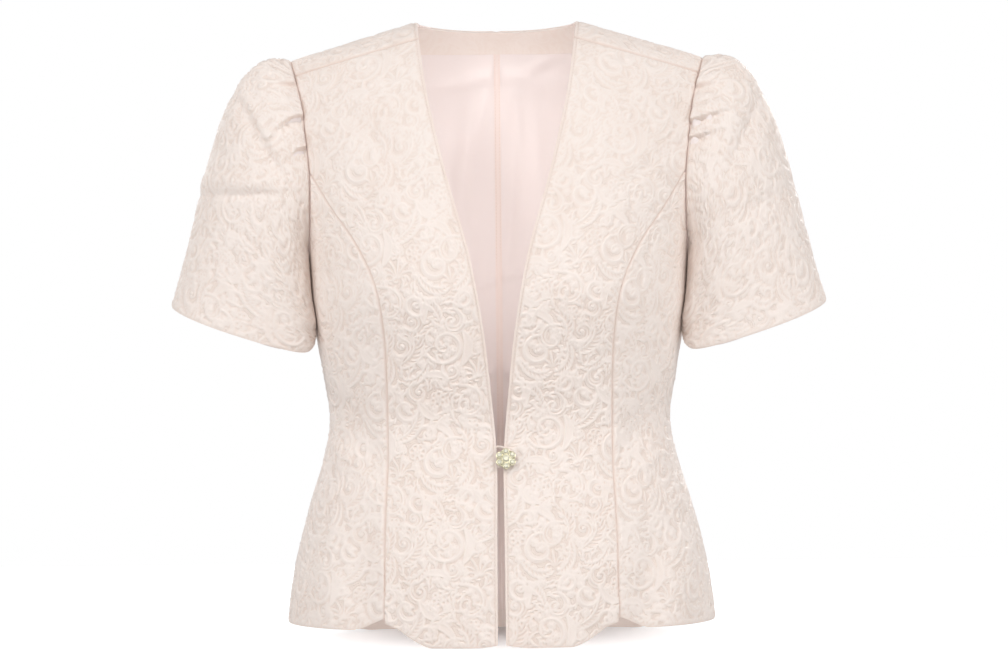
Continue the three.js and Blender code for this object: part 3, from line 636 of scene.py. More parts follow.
def woven(name, color, roughness, ribs, threads, depth, **sockets):
    """A plain material with the fine weave as a bump, following the cloth's own map."""
    material, tree, shader = plain(name, color, roughness, **sockets)
    cloth = node(tree, "ShaderNodeUVMap", uv_map="cloth")
    weave = placed(tree, WEAVE, Ribs_per_metre=ribs, Threads_per_metre=threads)
    bump = node(tree, "ShaderNodeBump", Strength=0.5, Distance=depth)
    links(tree, (cloth.outputs[0], weave.inputs["Cloth"]), (weave.outputs[0], bump.inputs["Height"]),
          (bump.outputs[0], shader.inputs["Normal"]))
    return material, tree, shader


def mixed(tree, factor, a, b):
    """A colour between two, each given as numbers or as another node's output."""
    mix = node(tree, "ShaderNodeMix", data_type="RGBA")
    for end, value in zip([s for s in mix.inputs if s.type == "RGBA"], (a, b)):
        if isinstance(value, tuple):
            end.default_value = (*value, 1)
        else:
            links(tree, (value, end))
    links(tree, (factor, mix.inputs["Factor"]))
    return [s for s in mix.outputs if s.type == "RGBA"][0]


THREAD = woven("sewing thread", (0.84, 0.72, 0.65), 0.45, 3000.0, 900.0, 0.00006)[0]
GILT = plain("pale gilt", (0.72, 0.68, 0.51), 0.24, Metallic=1.0)[0]
STONE = plain("clear stone", (0.97, 0.95, 0.80), 0.05, Transmission_Weight=0.65, IOR=1.6)[0]
print("materials so far:", [m.name for m in (THREAD, GILT, STONE)])

# %% Brocade
# The third colour is painted shade, mixed in along seams, darts and tucks.
GROUND, FIGURE, PAINTED_SHADE_COLOR = (0.895, 0.765, 0.69), (0.945, 0.845, 0.785), (0.72, 0.53, 0.45)
# The height of the fine lines, in metres, and how strongly the patches shift the mix.
ECHO_RISE = 0.0002
PATCH_SIZE, PATCH_STRENGTH = 26.0, 1.1


def brocade_material():
    """The figure's height mixes ground into figure, for the colour and for the roughness. The
    trenches beside the figure take the full ground colour as painted shade. Noise shifts the
    colour's mix in patches, and the painted shade by seams, darts and tucks mixes in a darker
    colour. The fine lines are a bump under the weave's bump."""
    material, tree, shader = woven("brocade", GROUND, 0.6, 900.0, 1500.0, 0.00012,
                                   Sheen_Weight=0.12, Sheen_Roughness=0.4, Specular_IOR_Level=0.4)
    height = node(tree, "ShaderNodeAttribute", attribute_name="figure")
    away = node(tree, "ShaderNodeAttribute", attribute_name="away")
    echo = placed(tree, ECHO)
    lines = node(tree, "ShaderNodeBump", Strength=1.0, Distance=ECHO_RISE)
    fine = shader.inputs["Normal"].links[0].from_node
    links(tree, (away.outputs["Fac"], echo.inputs["Away"]),
          (echo.outputs["Height"], lines.inputs["Height"]), (lines.outputs[0], fine.inputs["Normal"]))
    # Flat ground sits about a quarter of the way into the mix, so the trenches beside the figure, whose
    # height is below 0, are painted down to the full ground colour as painted shade. The figure's own
    # lighter thread is the real colour.
    step = node(tree, "ShaderNodeMapRange", From_Min=-0.25, From_Max=0.7)
    gloss = node(tree, "ShaderNodeMapRange", To_Min=0.62, To_Max=0.42)
    cloth = node(tree, "ShaderNodeUVMap", uv_map="cloth")
    patches = node(tree, "ShaderNodeTexNoise", Scale=PATCH_SIZE, Detail=1.0)
    tone = math_node(tree, "MULTIPLY_ADD", PATCH_STRENGTH)
    settled = math_node(tree, "SUBTRACT", PATCH_STRENGTH / 2, use_clamp=True)
    links(tree, (cloth.outputs[0], patches.inputs["Vector"]), (patches.outputs["Fac"], tone.inputs[0]),
          (step.outputs[0], tone.inputs[2]), (tone.outputs[0], settled.inputs[0]))
    # This attribute carries the painted shade along seams, darts and tucks.
    painted_shade = node(tree, "ShaderNodeAttribute", attribute_name="painted_shade")
    woven_color = mixed(tree, settled.outputs[0], GROUND, FIGURE)
    color = mixed(tree, painted_shade.outputs["Fac"], woven_color, PAINTED_SHADE_COLOR)
    links(tree, (height.outputs["Fac"], step.inputs["Value"]), (color, shader.inputs["Base Color"]),
          (step.outputs[0], gloss.inputs["Value"]), (gloss.outputs[0], shader.inputs["Roughness"]))
    return material


BROCADE = brocade_material()
print("nodes in the brocade:", len(BROCADE.node_tree.nodes))

# %% Satin
# The second satin colour is painted shade along the lining's seam.
SATIN, SATIN_SEAM_SHADE = (0.94, 0.845, 0.82), (0.95, 0.79, 0.72)


def lining_material():
    """Satin that is painted warmer and darker where two layers lie along a seam, as painted shade."""
    material, tree, shader = woven("satin lining", SATIN, 0.36, 2400.0, 700.0, 0.00004,
                                   Sheen_Weight=0.1, Specular_IOR_Level=0.5)
    # The attribute carries the painted shade along the lining's seam.
    painted_shade = node(tree, "ShaderNodeAttribute", attribute_name="painted_shade")
    links(tree, (mixed(tree, painted_shade.outputs["Fac"], SATIN, SATIN_SEAM_SHADE), shader.inputs["Base Color"]))
    return material


LINING = lining_material()
print("materials:", [m.name for m in (BROCADE, LINING, THREAD, GILT, STONE)])

# %% [markdown]
# ## From grids to cloth walls
# Each panel is cloth with a thickness. A Solidify modifier could give it, but the raised figure is
# only on the outside, and the inside is smooth lining. So a panel here is two grids: a fine outer
# one that carries the figure, and an inner one made of every fifth point, moved in. Strips join
# their edges, and the wall is closed.

# %% Faces between two grids
COARSE = 5


def border(outer_line, inner_line, coarse):
    """Triangles between an edge line of the outer grid and the shorter one of the inner grid."""
    m, n = np.arange(len(outer_line) - 1), np.arange(len(inner_line) - 1)
    fans = [outer_line[m + 1], outer_line[m], inner_line[m // coarse]]
    steps = [outer_line[(n + 1) * coarse], inner_line[n], inner_line[n + 1]]
    return np.concatenate([np.stack(fans, 1), np.stack(steps, 1)])


def grid_faces(index, flip=False):
    """Squares of a grid of vertex numbers."""
    a, b, c, d = index[:-1, :-1], index[:-1, 1:], index[1:, 1:], index[1:, :-1]
    order = (a, d, c, b) if flip else (a, b, c, d)
    return np.stack([corner.ravel() for corner in order], 1)


def wall(outer, inner, ring=False):
    """Points and faces of the closed wall between two grids. The faces come as three arrays: the
    outer grid's, the inner one's, and the strips'. A ring joins its last column to its first."""
    rows, columns = outer.shape[:2]
    front = np.arange(rows * columns).reshape(rows, columns)
    back = rows * columns + np.arange(inner.shape[0] * inner.shape[1]).reshape(inner.shape[:2])
    coarse = (rows - 1) // (inner.shape[0] - 1)
    if ring:
        front, back = (np.concatenate([g, g[:, :1]], 1) for g in (front, back))
    edges = [border(front[0], back[0], coarse), border(front[-1, ::-1], back[-1, ::-1], coarse)]
    if not ring:
        edges += [border(front[:, -1], back[:, -1], coarse),
                  border(front[::-1, 0], back[::-1, 0], coarse)]
    faces = [grid_faces(front), grid_faces(back, flip=True), np.concatenate(edges)]
    return np.concatenate([outer.reshape(-1, 3), inner.reshape(-1, 3)]), faces


slab = np.stack([*np.meshgrid(np.arange(11.0), np.arange(11.0)), np.zeros((11, 11))], -1)
slab_points, slab_faces = wall(slab, slab[::COARSE, ::COARSE] - [0, 0, 1])
print("faces of a small trial slab:", [len(f) for f in slab_faces])


# %% Which way faces point
def volume(points, faces):
    """The volume inside closed faces: the sum of the tetrahedra from the origin to each. It is
    negative where they point inwards."""
    total = 0.0
    for f in faces:
        for k in range(1, f.shape[1] - 1):
            a, b, c = points[f[:, 0]], points[f[:, k]], points[f[:, k + 1]]
            total += np.einsum("ij,ij->", a, np.cross(b, c)) / 6
    return total


def outwards_faces(points, faces):
    return faces if volume(points, faces) > 0 else [f[:, ::-1] for f in faces]


print("volume of the trial slab, in cubic mm:", round(abs(volume(slab_points, slab_faces)), 1))


# %% A mesh from points and faces
def build(name, points, faces, materials, finish=None, cloth=None, weave=(), sharp=50.0):
    """A mesh object from millimetre points and arrays of faces. finish is a material number for
    each face, cloth each point's place on the flat cloth in mm, and weave what the shader needs
    at each point: the figure's height, the distance from its nearest stroke, and the painted shade
    by seams and tucks. Edges sharper than an angle stay sharp, and sharp=0 leaves every face flat."""
    faces = outwards_faces(points, faces)
    mesh = bpy.data.meshes.new(name)
    corners = np.concatenate([f.ravel() for f in faces]).astype(np.int32)
    sizes = np.concatenate([np.full(len(f), f.shape[1]) for f in faces])
    mesh.vertices.add(len(points))
    mesh.vertices.foreach_set("co", (points / 1000).astype(np.float32).ravel())
    mesh.loops.add(len(corners))
    mesh.loops.foreach_set("vertex_index", corners)
    mesh.polygons.add(len(sizes))
    mesh.polygons.foreach_set("loop_start", (np.cumsum(sizes) - sizes).astype(np.int32))
    if finish is not None:
        mesh.polygons.foreach_set("material_index", finish.astype(np.int32))
    mesh.update(calc_edges=True)
    if cloth is not None:
        layer = mesh.uv_layers.new(name="cloth")
        layer.data.foreach_set("uv", (cloth[corners] / 1000).astype(np.float32).ravel())
    # The third attribute is the painted shade by seams and tucks.
    for label, values in zip(("figure", "away", "painted_shade"), weave):
        attribute = mesh.attributes.new(label, "FLOAT", "POINT")
        attribute.data.foreach_set("value", values.astype(np.float32))
    for material in materials:
        mesh.materials.append(material)
    mesh.polygons.foreach_set("use_smooth", np.full(len(sizes), sharp > 0))
    if sharp > 0:
        mesh.set_sharp_from_angle(angle=np.radians(sharp))
    obj = bpy.data.objects.new(name, mesh)
    bpy.context.scene.collection.objects.link(obj)
    return obj


# %% Putting a piece on the jacket
ROOT = next(iter(frame["bodies"]))
TRIANGLES = {}


def dress(obj, nodes):
    """Puts a finished piece on the jacket's body, in place of its plain nodes."""
    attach(obj, ROOT)
    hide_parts(*nodes)
    TRIANGLES[obj.name] = sum(len(p.vertices) - 2 for p in obj.data.polygons)
    print(f"{obj.name}: {TRIANGLES[obj.name]} triangles")


print("body that the pieces ride on:", ROOT)

# %% [markdown]
# ## The fronts, side fronts and backs
# A tailor cuts each panel from the brocade on its own, so the figure runs straight up each panel
# and breaks at every seam. Here each point's place on the flat cloth is its distance across from
# the centre line and its length up the body. The figure is looked up there and raised. Close to a
# seam or an edge the cloth turns under, so the figure fades and the surface dips.

# %% Place on the cloth
# Wrinkles are narrow folds, pulled by the seams, that only the fine surface has.
WRINKLES = table("face x z turn length width rise", [
    (FRONT, -56, -470, -38, 22, 3.2, -0.9), (FRONT, -22, -585, -28, 26, 4, 0.9),
    (FRONT, 84, -412, 44, 26, 4, -1.1), (FRONT, 92, -338, 38, 26, 4, -1.1),
    (FRONT, 70, -430, 60, 20, 3.5, 0.8), (FRONT, -84, -400, -40, 26, 4.5, -1.0),
    (FRONT, -150, -420, -50, 26, 5, 1.2), (FRONT, 150, -424, 52, 26, 5, 1.2),
    (FRONT, -24, -398, -78, 20, 3.5, -0.8), (FRONT, 26, -402, 76, 20, 3.5, -0.8),
    (FRONT, 138, -150, 52, 34, 5, -1.2), (FRONT, -134, -168, -48, 30, 5, -1.0),
    (FRONT, -96, -590, -6, 30, 6, -1.6), (FRONT, 96, -592, 6, 30, 6, -1.6),
    (BACK, -70, -395, -70, 34, 5, -1.3), (BACK, 66, -400, 68, 34, 5, -1.2),
    (BACK, -40, -372, -80, 30, 5, 1.0), (BACK, 104, -178, 40, 36, 6, -1.2),
    (BACK, -108, -182, -42, 36, 6, -1.2), (BACK, 30, -60, 84, 30, 5, -0.8),
])


def along_body(face, level):
    """Length up the body from far below the hem, along a line 110 mm from the centre."""
    levels = np.concatenate([np.linspace(-640, -140, 251), roll_levels(-138.0, 200)])
    line = plain_body(face, 1, angle_at(110.0, levels), levels)
    lengths = np.concatenate([[0], np.cumsum(np.linalg.norm(np.diff(line, axis=0), axis=1))])
    return np.interp(level, levels, lengths)


def running(points, axis, flat=False):
    """Lengths added up along an axis of a grid, starting from 0. Flat leaves out heights."""
    steps = np.diff(points[..., :2] if flat else points, axis=axis)
    lengths = np.cumsum(np.linalg.norm(steps, axis=-1), axis=axis)
    return np.concatenate([np.zeros_like(np.take(lengths, [0], axis)), lengths], axis)


ends = along_body(FRONT, np.array([HEM, SHOULDER]))
print("length of the body along the cloth, in mm:", (ends[1] - ends[0]).round(1))

# %% Relief
# How high the figure stands, and the soft cushion under it.
RELIEF, CUSHION = 1.0, 1.35
# Where the cloth is joined or sewn it dips, and its figure is flat within a reach. Shade is
# painted into the colour there, by a share within a reach of its own.
EDGE = dict(dip=0.36, dip_reach=0.8, flat_reach=1.7)
SEWN_LINE = dict(dip=0.8, dip_reach=0.9, flat_reach=1.5)
STITCH_LINE = dict(dip=0.5, dip_reach=0.9, flat_reach=1.1)
# Along a tuck the figure is pressed flatter, and shade is painted into the colour.
TUCKED = dict(flat=0.8, flat_reach=3, painted_shade_reach=1.6, painted_shade=0.315)
# How much shade is painted into the colour along a seam, and over what reach.
PAINTED_SHADE, PAINTED_SHADE_REACH = 0.45, 1.1
ALLOWANCE = dict(rise=0.4, width=4.0, reach=2.4)


def relief(u, v, free, sewn, lines=(), stitch=(), allowance=(), folds=(), calm=1.0):
    """The outward lift at each point, and what the shader needs there: the figure's height, the
    distance from its nearest stroke, and the painted shade near seams and tucks. Near an edge,
    free or sewn, the figure fades and the cloth dips as a bell of the distance, and along a sewn
    line it dips more deeply. A seam allowance under the cloth lifts it beside the seam. Calm is 0
    where the cloth is pressed flat."""
    keep, lift, painted_shade = np.ones_like(u) * calm, np.zeros_like(u), np.zeros_like(u)
    for distances, kind in (([*free, *sewn], EDGE), (lines, SEWN_LINE), (stitch, STITCH_LINE)):
        for distance in distances:
            keep = keep * (1 - bell(distance / kind["flat_reach"]))
            lift = lift - kind["dip"] * bell(distance / kind["dip_reach"])
    # Painted shade along seams and sewn lines, and along the tucks.
    for distance in [*sewn, *lines]:
        painted_shade = np.maximum(painted_shade, PAINTED_SHADE * bell(distance / PAINTED_SHADE_REACH))
    for distance in folds:
        keep = keep * (1 - TUCKED["flat"] * bell(distance / TUCKED["flat_reach"]))
        painted_shade = np.maximum(painted_shade, TUCKED["painted_shade"] * bell(distance / TUCKED["painted_shade_reach"]))
    for distance in allowance:
        lift = lift + ALLOWANCE["rise"] * bell((distance - ALLOWANCE["width"]) / ALLOWANCE["reach"])
    figure = at_cloth(figure_tile, u, v) * keep
    lift = lift + RELIEF * figure + CUSHION * at_cloth(cushion_tile, u, v) * keep
    return lift, (figure, at_cloth(away_tile, u, v) * keep, painted_shade)


print("relief of the figure, in mm:", round(RELIEF * float(figure_tile.max()), 2))

# %% Where the cloth is pressed flat
# The part of the body that each sleeve lies against: its lowest and highest levels, where its
# depth from the side seam begins to end, and the reaches over which it fades.
ARM_PRESS = dict(low=-304, low_fade=16, high=-212, high_fade=20, depth=30)
PLAIN_INSIDE = (0.3, 0.0, 0.0)


def under_arm(point):
    """1 where the sleeve is pressed against the body under the arm, fading to 0 around it."""
    depth, z = np.abs(point[..., 1]), point[..., 2]
    along = (ease((z - ARM_PRESS["low"]) / ARM_PRESS["low_fade"])
             * ease((ARM_PRESS["high"] - z) / ARM_PRESS["high_fade"]))
    return along * ease(2.0 - depth / ARM_PRESS["depth"])


def with_inside(values, inner):
    """Each outer value, then a plain one for every point of the inner grid."""
    return [np.concatenate([value.ravel(), np.full(inner.shape[0] * inner.shape[1], plain)])
            for value, plain in zip(values, PLAIN_INSIDE)]


print("pressed under the arm, over a depth in mm of", 2 * ARM_PRESS["depth"])

# %% Rows and edges of the panels
def dense_levels(low, mid, high):
    """Levels from the hem to the shoulder, with counts of steps below the arm, beside it and on
    the roll of the shoulder."""
    rows = [np.linspace(HEM, UNDERARM, low + 1), np.linspace(UNDERARM, PRINCESS_TOP, mid + 1)[1:],
            roll_levels(PRINCESS_TOP, high)[1:]]
    return np.concatenate(rows)


def outer_angle(level):
    return np.where(level <= UNDERARM, np.pi / 2, angle_at(armhole_x(level), level))


def front_outer(level):
    seam = angle_at(princess_x(level) - SEAM_GAP / 2, level)
    return np.where(level < PRINCESS_TOP, seam, outer_angle(level))


def side_front_inner(level):
    """The seam's edge, with a wider gap where the panel runs out in its tip."""
    tip = 1.5 * SEAM_GAP * ease((level + 153) / 15)
    return angle_at(princess_x(level) + SEAM_GAP / 2 + tip, level)


def side_levels(low, mid):
    """Levels from the hem to just under the tip where the princess seam meets the armhole."""
    arm_levels = np.linspace(UNDERARM, PRINCESS_TOP - 3, mid + 1)[1:]
    return np.concatenate([np.linspace(HEM, UNDERARM, low + 1), arm_levels])


PANELS = {
    "front": dict(face=FRONT, levels=dense_levels(330, 100, 120), columns=135,
                  inner=lambda level: angle_at(front_edge_x(level), level), outer=front_outer),
    "side_front": dict(face=FRONT, levels=side_levels(250, 95), columns=120,
                       inner=side_front_inner, outer=outer_angle),
    "back": dict(face=BACK, levels=dense_levels(190, 55, 80), columns=100,
                 inner=lambda level: angle_at(SEAM_GAP / 2, level), outer=outer_angle),
}
print("rows of each panel:", {kind: len(made["levels"]) for kind, made in PANELS.items()})


# %% Points of a panel
WRINKLE_FADE_AROUND = 0.2
# The back's darts: the distance from the centre, how much less it is at the waist, and the ends.
DART = dict(x=86, inset=10, waist=-390, spread=90, top=-170, foot=-520, end=25, apart=6)


def panel_grid(face, sign, levels, inner, outer, columns, crowd=1.0):
    """Points and outward directions of a panel, with each point's place on the flat cloth. A
    crowd over 1 draws the columns together towards the panel's first edge."""
    level = levels[:, None]
    start, end = inner(levels)[:, None], outer(levels)[:, None]
    angle = start + (end - start) * np.linspace(0, 1, columns + 1) ** crowd
    x = x_at(angle, level)
    fitted = fitted_level(face, x, level)
    point, out = body_point(face, sign, angle, fitted)
    fade = ease(-fitted / FADE_UP) * ease((np.pi / 2 - angle) / WRINKLE_FADE_AROUND)
    point = point + out * (fold_rise(face, point, WRINKLES) * fade)[..., None]
    u = sign * (x[:, :1] + running(point, 1, flat=True))
    return point, out, u, along_body(face, fitted)


def back_dart(point):
    """Distance from the long dart that shapes each half of the back, from shoulder blade to hip.
    Past its ends the distance grows, so the dart runs out."""
    x, z = np.abs(point[..., 0]), point[..., 2]
    line = DART["x"] - DART["inset"] * bell((z - DART["waist"]) / DART["spread"])
    above = DART["apart"] * (1 - ease((DART["top"] - z) / DART["end"]))
    below = DART["apart"] * (1 - ease((z - DART["foot"]) / DART["end"]))
    return np.abs(x - line) + above + below


waist_point = plain_body(BACK, 1, angle_at(76.0, -390.0), -390.0)
print("a waist point 76 mm out is this far from the dart:", round(float(back_dart(waist_point)), 2))

# %% Make the six panels
CLOTH_WALL = 1.6
# Where each panel was laid on the cloth, across and up, in millimetres, and how much further on
# the left one was.
LAID_AT = {"front": (12, 0), "side_front": (71, 138), "back": (33, 61)}
LEFT_FURTHER = (57, 83)
# The shell's own cloth shows on the inside, over these widths from the front edge and the hem.
FACING_WIDTH, TURNED_UP = 62, 38
# The front's topstitching, in from its edge, and the seam on the shoulder, in levels.
STITCH_INSET, SHOULDER_SEAM = 2.6, -20
# The figure is pressed a little flatter above this level, over a height, from a full share down.
FIGURE_SHARE = dict(full=1.12, less=0.32, level=-400, over=250)
SPOTS = {}
GRID_PARTS = ("levels", "inner", "outer", "columns")


def make_panel(kind, side, sign):
    made = PANELS[kind]
    face = made["face"]
    point, out, u, v = panel_grid(face, sign, **{part: made[part] for part in GRID_PARTS})
    across, up = running(point, 1), running(point, 0)
    free, sewn = [up], [across[:, -1:] - across]
    lines, stitch, allowance = [], [], []
    if kind == "front":
        free.append(across)
        sewn.append(up[-1:] - up)
        lines.append(np.abs(made["levels"][:, None] - SHOULDER_SEAM) * 1.1 + 0 * u)
        stitch.append(across - STITCH_INSET)
        SPOTS[side] = (point, out, across)
    if kind == "side_front":
        sewn.append(across)
        allowance.append(across)
    if kind == "back":
        sewn += [across, up[-1:] - up]
        lines += [back_dart(point) * 0.5, across * 0.6]
    u = u + LAID_AT[kind][0] + (sign > 0) * LEFT_FURTHER[0]
    v = v + LAID_AT[kind][1] + (sign > 0) * LEFT_FURTHER[1]
    higher = ease((point[..., 2] - FIGURE_SHARE["level"]) / FIGURE_SHARE["over"])
    calm = (1 - under_arm(point)) * (FIGURE_SHARE["full"] - FIGURE_SHARE["less"] * higher)
    lift, weave = relief(u, v, free, sewn, lines, stitch, allowance, calm=calm)
    outer = point + out * lift[..., None]
    outer[..., 1] = face * np.maximum(face * outer[..., 1], SEAM_GAP / 2)
    skip = (slice(None, None, COARSE), slice(None, None, COARSE))
    inner = sunk(face, point[skip], out[skip], CLOTH_WALL)
    points, faces = wall(outer, inner)
    facing = (across[skip][:-1, :-1].ravel() < FACING_WIDTH) & (kind == "front")
    turned_up = up[skip][:-1, :-1].ravel() < TURNED_UP
    inside = np.where(facing | turned_up, 0, 1)
    finish = np.concatenate([np.zeros(len(faces[0])), inside, np.zeros(len(faces[2]))])
    flat = np.stack([u, v], -1)
    cloth = np.concatenate([flat.reshape(-1, 2), flat[skip].reshape(-1, 2)])
    obj = build(f"shell_{kind}_{side}", points, faces, [BROCADE, LINING], finish, cloth,
                with_inside(weave, inner))
    dress(obj, [f"{kind}_{side}"])


SIDES = (("right", -1), ("left", 1))
for side, sign in SIDES:
    for kind in PANELS:
        make_panel(kind, side, sign)

# %% [markdown]
# ## The sleeves
# A short sleeve set in with flat tucks: the cloth is wider than the armhole, and the maker folds
# the extra under at the shoulder. It could be simulated, but the tucks have to sit where the
# photograph shows them. So each line of the sleeve is a curve that leaves the armhole outwards,
# bends over the shoulder and comes down square to the hem. Under the arm it lies close to the
# body. The tucks lift it near the seam.

# %% Tables of the sleeve
# A tuck starts at a level of the armhole. Its line changes level by the slope over the sleeve's
# length, and by ten times the bend as the square. Its reach is a share of that length.
TUCKS = {
    -1: table("face level slope bend reach rise", [
        (FRONT, -32, 0, 0, 0.2, 2.6), (FRONT, -72, -5, -6, 0.3, 5.0),
        (FRONT, -107, -5, -6, 0.24, 3.6),
        (BACK, -36, 0, 0, 0.14, 2.2), (BACK, -72, 0, 0, 0.2, 3.6), (BACK, -104, 0, 0, 0.12, 2.4)]),
    1: table("face level slope bend reach rise", [
        (FRONT, -40, 30, 0, 0.18, 3.6), (FRONT, -82, 12, 33, 0.28, 4.8),
        (FRONT, -101, 10, 30, 0.27, 3.8),
        (BACK, -34, 0, 0, 0.14, 2.2), (BACK, -70, 0, 0, 0.2, 3.6), (BACK, -100, 0, 0, 0.12, 2.4)]),
}
# Creases where the arm bends the cloth, as the body's folds are given.
CREASES = {
    -1: table("face x z turn length width rise", [
        (FRONT, 231, -112, 31, 50, 5.5, -4.6), (FRONT, 219, -120, 31, 34, 7, 1.5),
        (FRONT, 252, -157, 86, 44, 8, 3.2), (FRONT, 250, -169, 88, 40, 3.2, -2.4),
        (FRONT, 238, -62, 20, 26, 7, -1.6), (BACK, 235, -120, 28, 45, 8, -3),
        (BACK, 256, -176, 80, 40, 7, -2)]),
    1: table("face x z turn length width rise", [
        (FRONT, 241, -112, 27, 44, 8, -4.6), (FRONT, 262, -178, 64, 46, 9, -1.8),
        (FRONT, 236, -150, 40, 34, 8, 1.6), (FRONT, 218, -190, 14, 40, 8, -1.6),
        (BACK, 235, -118, 26, 45, 8, -3), (BACK, 258, -182, 72, 40, 8, -2)]),
}
print("tucks on each sleeve:", [len(rows["level"]) for rows in TUCKS.values()])


# %% The armhole
def armhole_line(sign, turns):
    """The armhole's face, level and point at each turn: 0 at the shoulder tip, half a turn at the
    underarm, the front first, shared out by length."""
    levels = [np.linspace(UNDERARM, PRINCESS_TOP, 120), roll_levels(PRINCESS_TOP, 240)[1:]]
    levels = np.concatenate(levels)[::-1]
    face_at, level_at = np.where(turns < np.pi, FRONT, BACK), np.zeros_like(turns)
    points = np.zeros(turns.shape + (3,))
    for face in (FRONT, BACK):
        line = body_point(face, sign, outer_angle(levels), levels)[0]
        lengths = np.concatenate([[0], np.cumsum(np.linalg.norm(np.diff(line, axis=0), axis=1))])
        here = face_at == face
        share = np.where(face == FRONT, turns, 2 * np.pi - turns)[here] / np.pi
        level_at[here] = np.interp(share * lengths[-1], lengths, levels)
        points[here] = body_point(face, sign, outer_angle(level_at[here]), level_at[here])[0]
    return face_at, level_at, points


print("armhole's lowest point:", armhole_line(1, np.array([np.pi]))[2][0].round(1))

# %% The inner side, pressed to the body
# The least gap to the body, and by how much a gap is narrowed: a share of it, up to a limit.
LEAST_GAP, PRESS_SHARE, PRESS_LIMIT = 0.35, 0.96, 9


def pressed(curves, inner, shares):
    """The inner half of the sleeve, moved close to the body under the arm without touching it:
    most of what its gap has over the least one is taken away, and a narrower gap is widened."""
    y, z = np.abs(curves[..., 1]), curves[..., 2]
    depth = np.where(curves[..., 1] < 0, depth_of[FRONT](z), depth_of[BACK](z))
    body = half_width(z) * clamp01(1 - (y / depth) ** SECTION_POWER) ** (1 / SECTION_POWER)
    gap = curves[..., 0] - body
    narrow = np.maximum(LEAST_GAP - gap, 0) * ease(14 * shares)[:, None] * (z < -225) * (y < 90)
    press = PRESS_SHARE * under_arm(curves) * np.clip(gap - LEAST_GAP, 0, PRESS_LIMIT)
    curves[..., 0] += inner * (narrow - press)
    return curves


# %% The sleeve's lines
ARMHOLE_GAP = 0.12
HEM_OUTER, HEM_INNER = np.array([320.5, 0, -275]), np.array([180.6, 0, -323])
CUFF = dict(power=2.2, half_depth=51, forward=22, lean=12, sag=8)
# The cuff rises at the seam under the arm: at a turn, over a spread, both in radians.
CUFF_RISE = dict(rise=19, turn=3.3, spread=0.5)
# How a line leaves the armhole and comes to the cuff, at the underarm, and how much more that is
# at the head. A pull is a share of the way between the two ends.
LEAVE = dict(out=0.8, out_more=0.02, side=0.5, up=0.31, down=0.95, pull=0.66, pull_more=0.2)
ARRIVE = dict(pull=0.95, pull_more=0.2)
SHARE_POWER = 1.15


def rounded(t):
    return np.sign(t) * np.abs(t) ** (2 / CUFF["power"])


def sleeve_curves(points, turns, shares):
    """Each column is a cubic from the armhole to the hem, given by its ends and by the way it
    leaves the one and comes to the other. The hem is a rounded square round its middle."""
    middle, outwards = (HEM_OUTER + HEM_INNER) / 2, (HEM_OUTER - HEM_INNER) / 2
    down = unit(np.array([outwards[2], 0, -outwards[0]]))
    c, s = np.cos(turns), np.sin(turns)
    head, inner = np.maximum(c, 0), (1 - c) / 2
    start = np.stack([np.abs(points[:, 0]) + ARMHOLE_GAP, points[:, 1], points[:, 2]], -1)
    end = middle + outwards * rounded(c)[:, None]
    end[:, 0] -= CUFF["lean"] * s * inner ** 2
    end[:, 1] = -CUFF["half_depth"] * rounded(s) - CUFF["forward"] * inner
    under_seam = bell((turns - CUFF_RISE["turn"]) / CUFF_RISE["spread"])
    end[:, 2] += CUFF_RISE["rise"] * under_seam - CUFF["sag"] * np.abs(s)
    reach = np.linalg.norm(end - start, axis=1)
    out = LEAVE["out"] + LEAVE["out_more"] * (1 - inner)
    leave = np.stack([out, -LEAVE["side"] * s, c * np.where(c > 0, LEAVE["up"], LEAVE["down"])], -1)
    leave = unit(leave) * ((LEAVE["pull"] + LEAVE["pull_more"] * head) * reach)[:, None]
    arrive = down * ((ARRIVE["pull"] + ARRIVE["pull_more"] * head) * reach)[:, None]
    t = (shares ** SHARE_POWER)[:, None, None]
    rise = t * t * (3 - 2 * t)
    curves = start * (1 - rise) + end * rise + leave * t * (1 - t) ** 2 - arrive * t * t * (1 - t)
    return pressed(curves, c < 0, shares)


def outward(grid):
    """Directions square to a ring grid, from the differences along its rows and columns."""
    around = np.roll(grid, -1, 1) - np.roll(grid, 1, 1)
    return unit(np.cross(around, np.gradient(grid, axis=0)))


print("width of the cuff, in mm:", round(float(np.linalg.norm(HEM_OUTER - HEM_INNER)), 1))

# %% Tucks and creases
TUCK_WIDTH = 21.0


def tuck_line(sign, i, level, share):
    """How far up the armhole each point is from a tuck's line, whose level changes by the slope
    over a sleeve's length, and by ten times the bend as the square of the place on it."""
    rows, share = TUCKS[sign], share[:, None]
    return level - rows["level"][i] - rows["slope"][i] * share - 10 * rows["bend"][i] * share ** 2


def tuck_folds(sign, face, level, share):
    """Distances from the tucks' lines, which grow past the tucks' ends."""
    rows = TUCKS[sign]
    return [np.abs(tuck_line(sign, i, level, share)) + 5 * (share[:, None] / rows["reach"][i]) ** 2
            + 99 * (face != rows["face"][i]) for i in range(len(rows["level"]))]


def tuck_rise(sign, face, level, share):
    """A tuck stands up above its line and drops within a few millimetres at it, most near the
    armhole, and dies away down the sleeve."""
    rise = np.zeros((len(share), len(level)))
    rows = TUCKS[sign]
    for i in range(len(rows["level"])):
        above = tuck_line(sign, i, level, share) / TUCK_WIDTH
        over = ease((above * TUCK_WIDTH + 1.6) / 3.2)
        profile = over * bell(above * 1.1) - 0.8 * (1 - over) * bell(above * 1.8)
        along = ease(share / 0.035) * bell(share / rows["reach"][i] / 0.75)
        rise += rows["rise"][i] * along[:, None] * profile * (face == rows["face"][i])
    return rise


def crease_rise(sign, face, shape):
    """The creases of the front face on its columns, and those of the back on the others."""
    front, back = (fold_rise(side, shape, CREASES[sign]) for side in (FRONT, BACK))
    return np.where(face == FRONT, front, back)


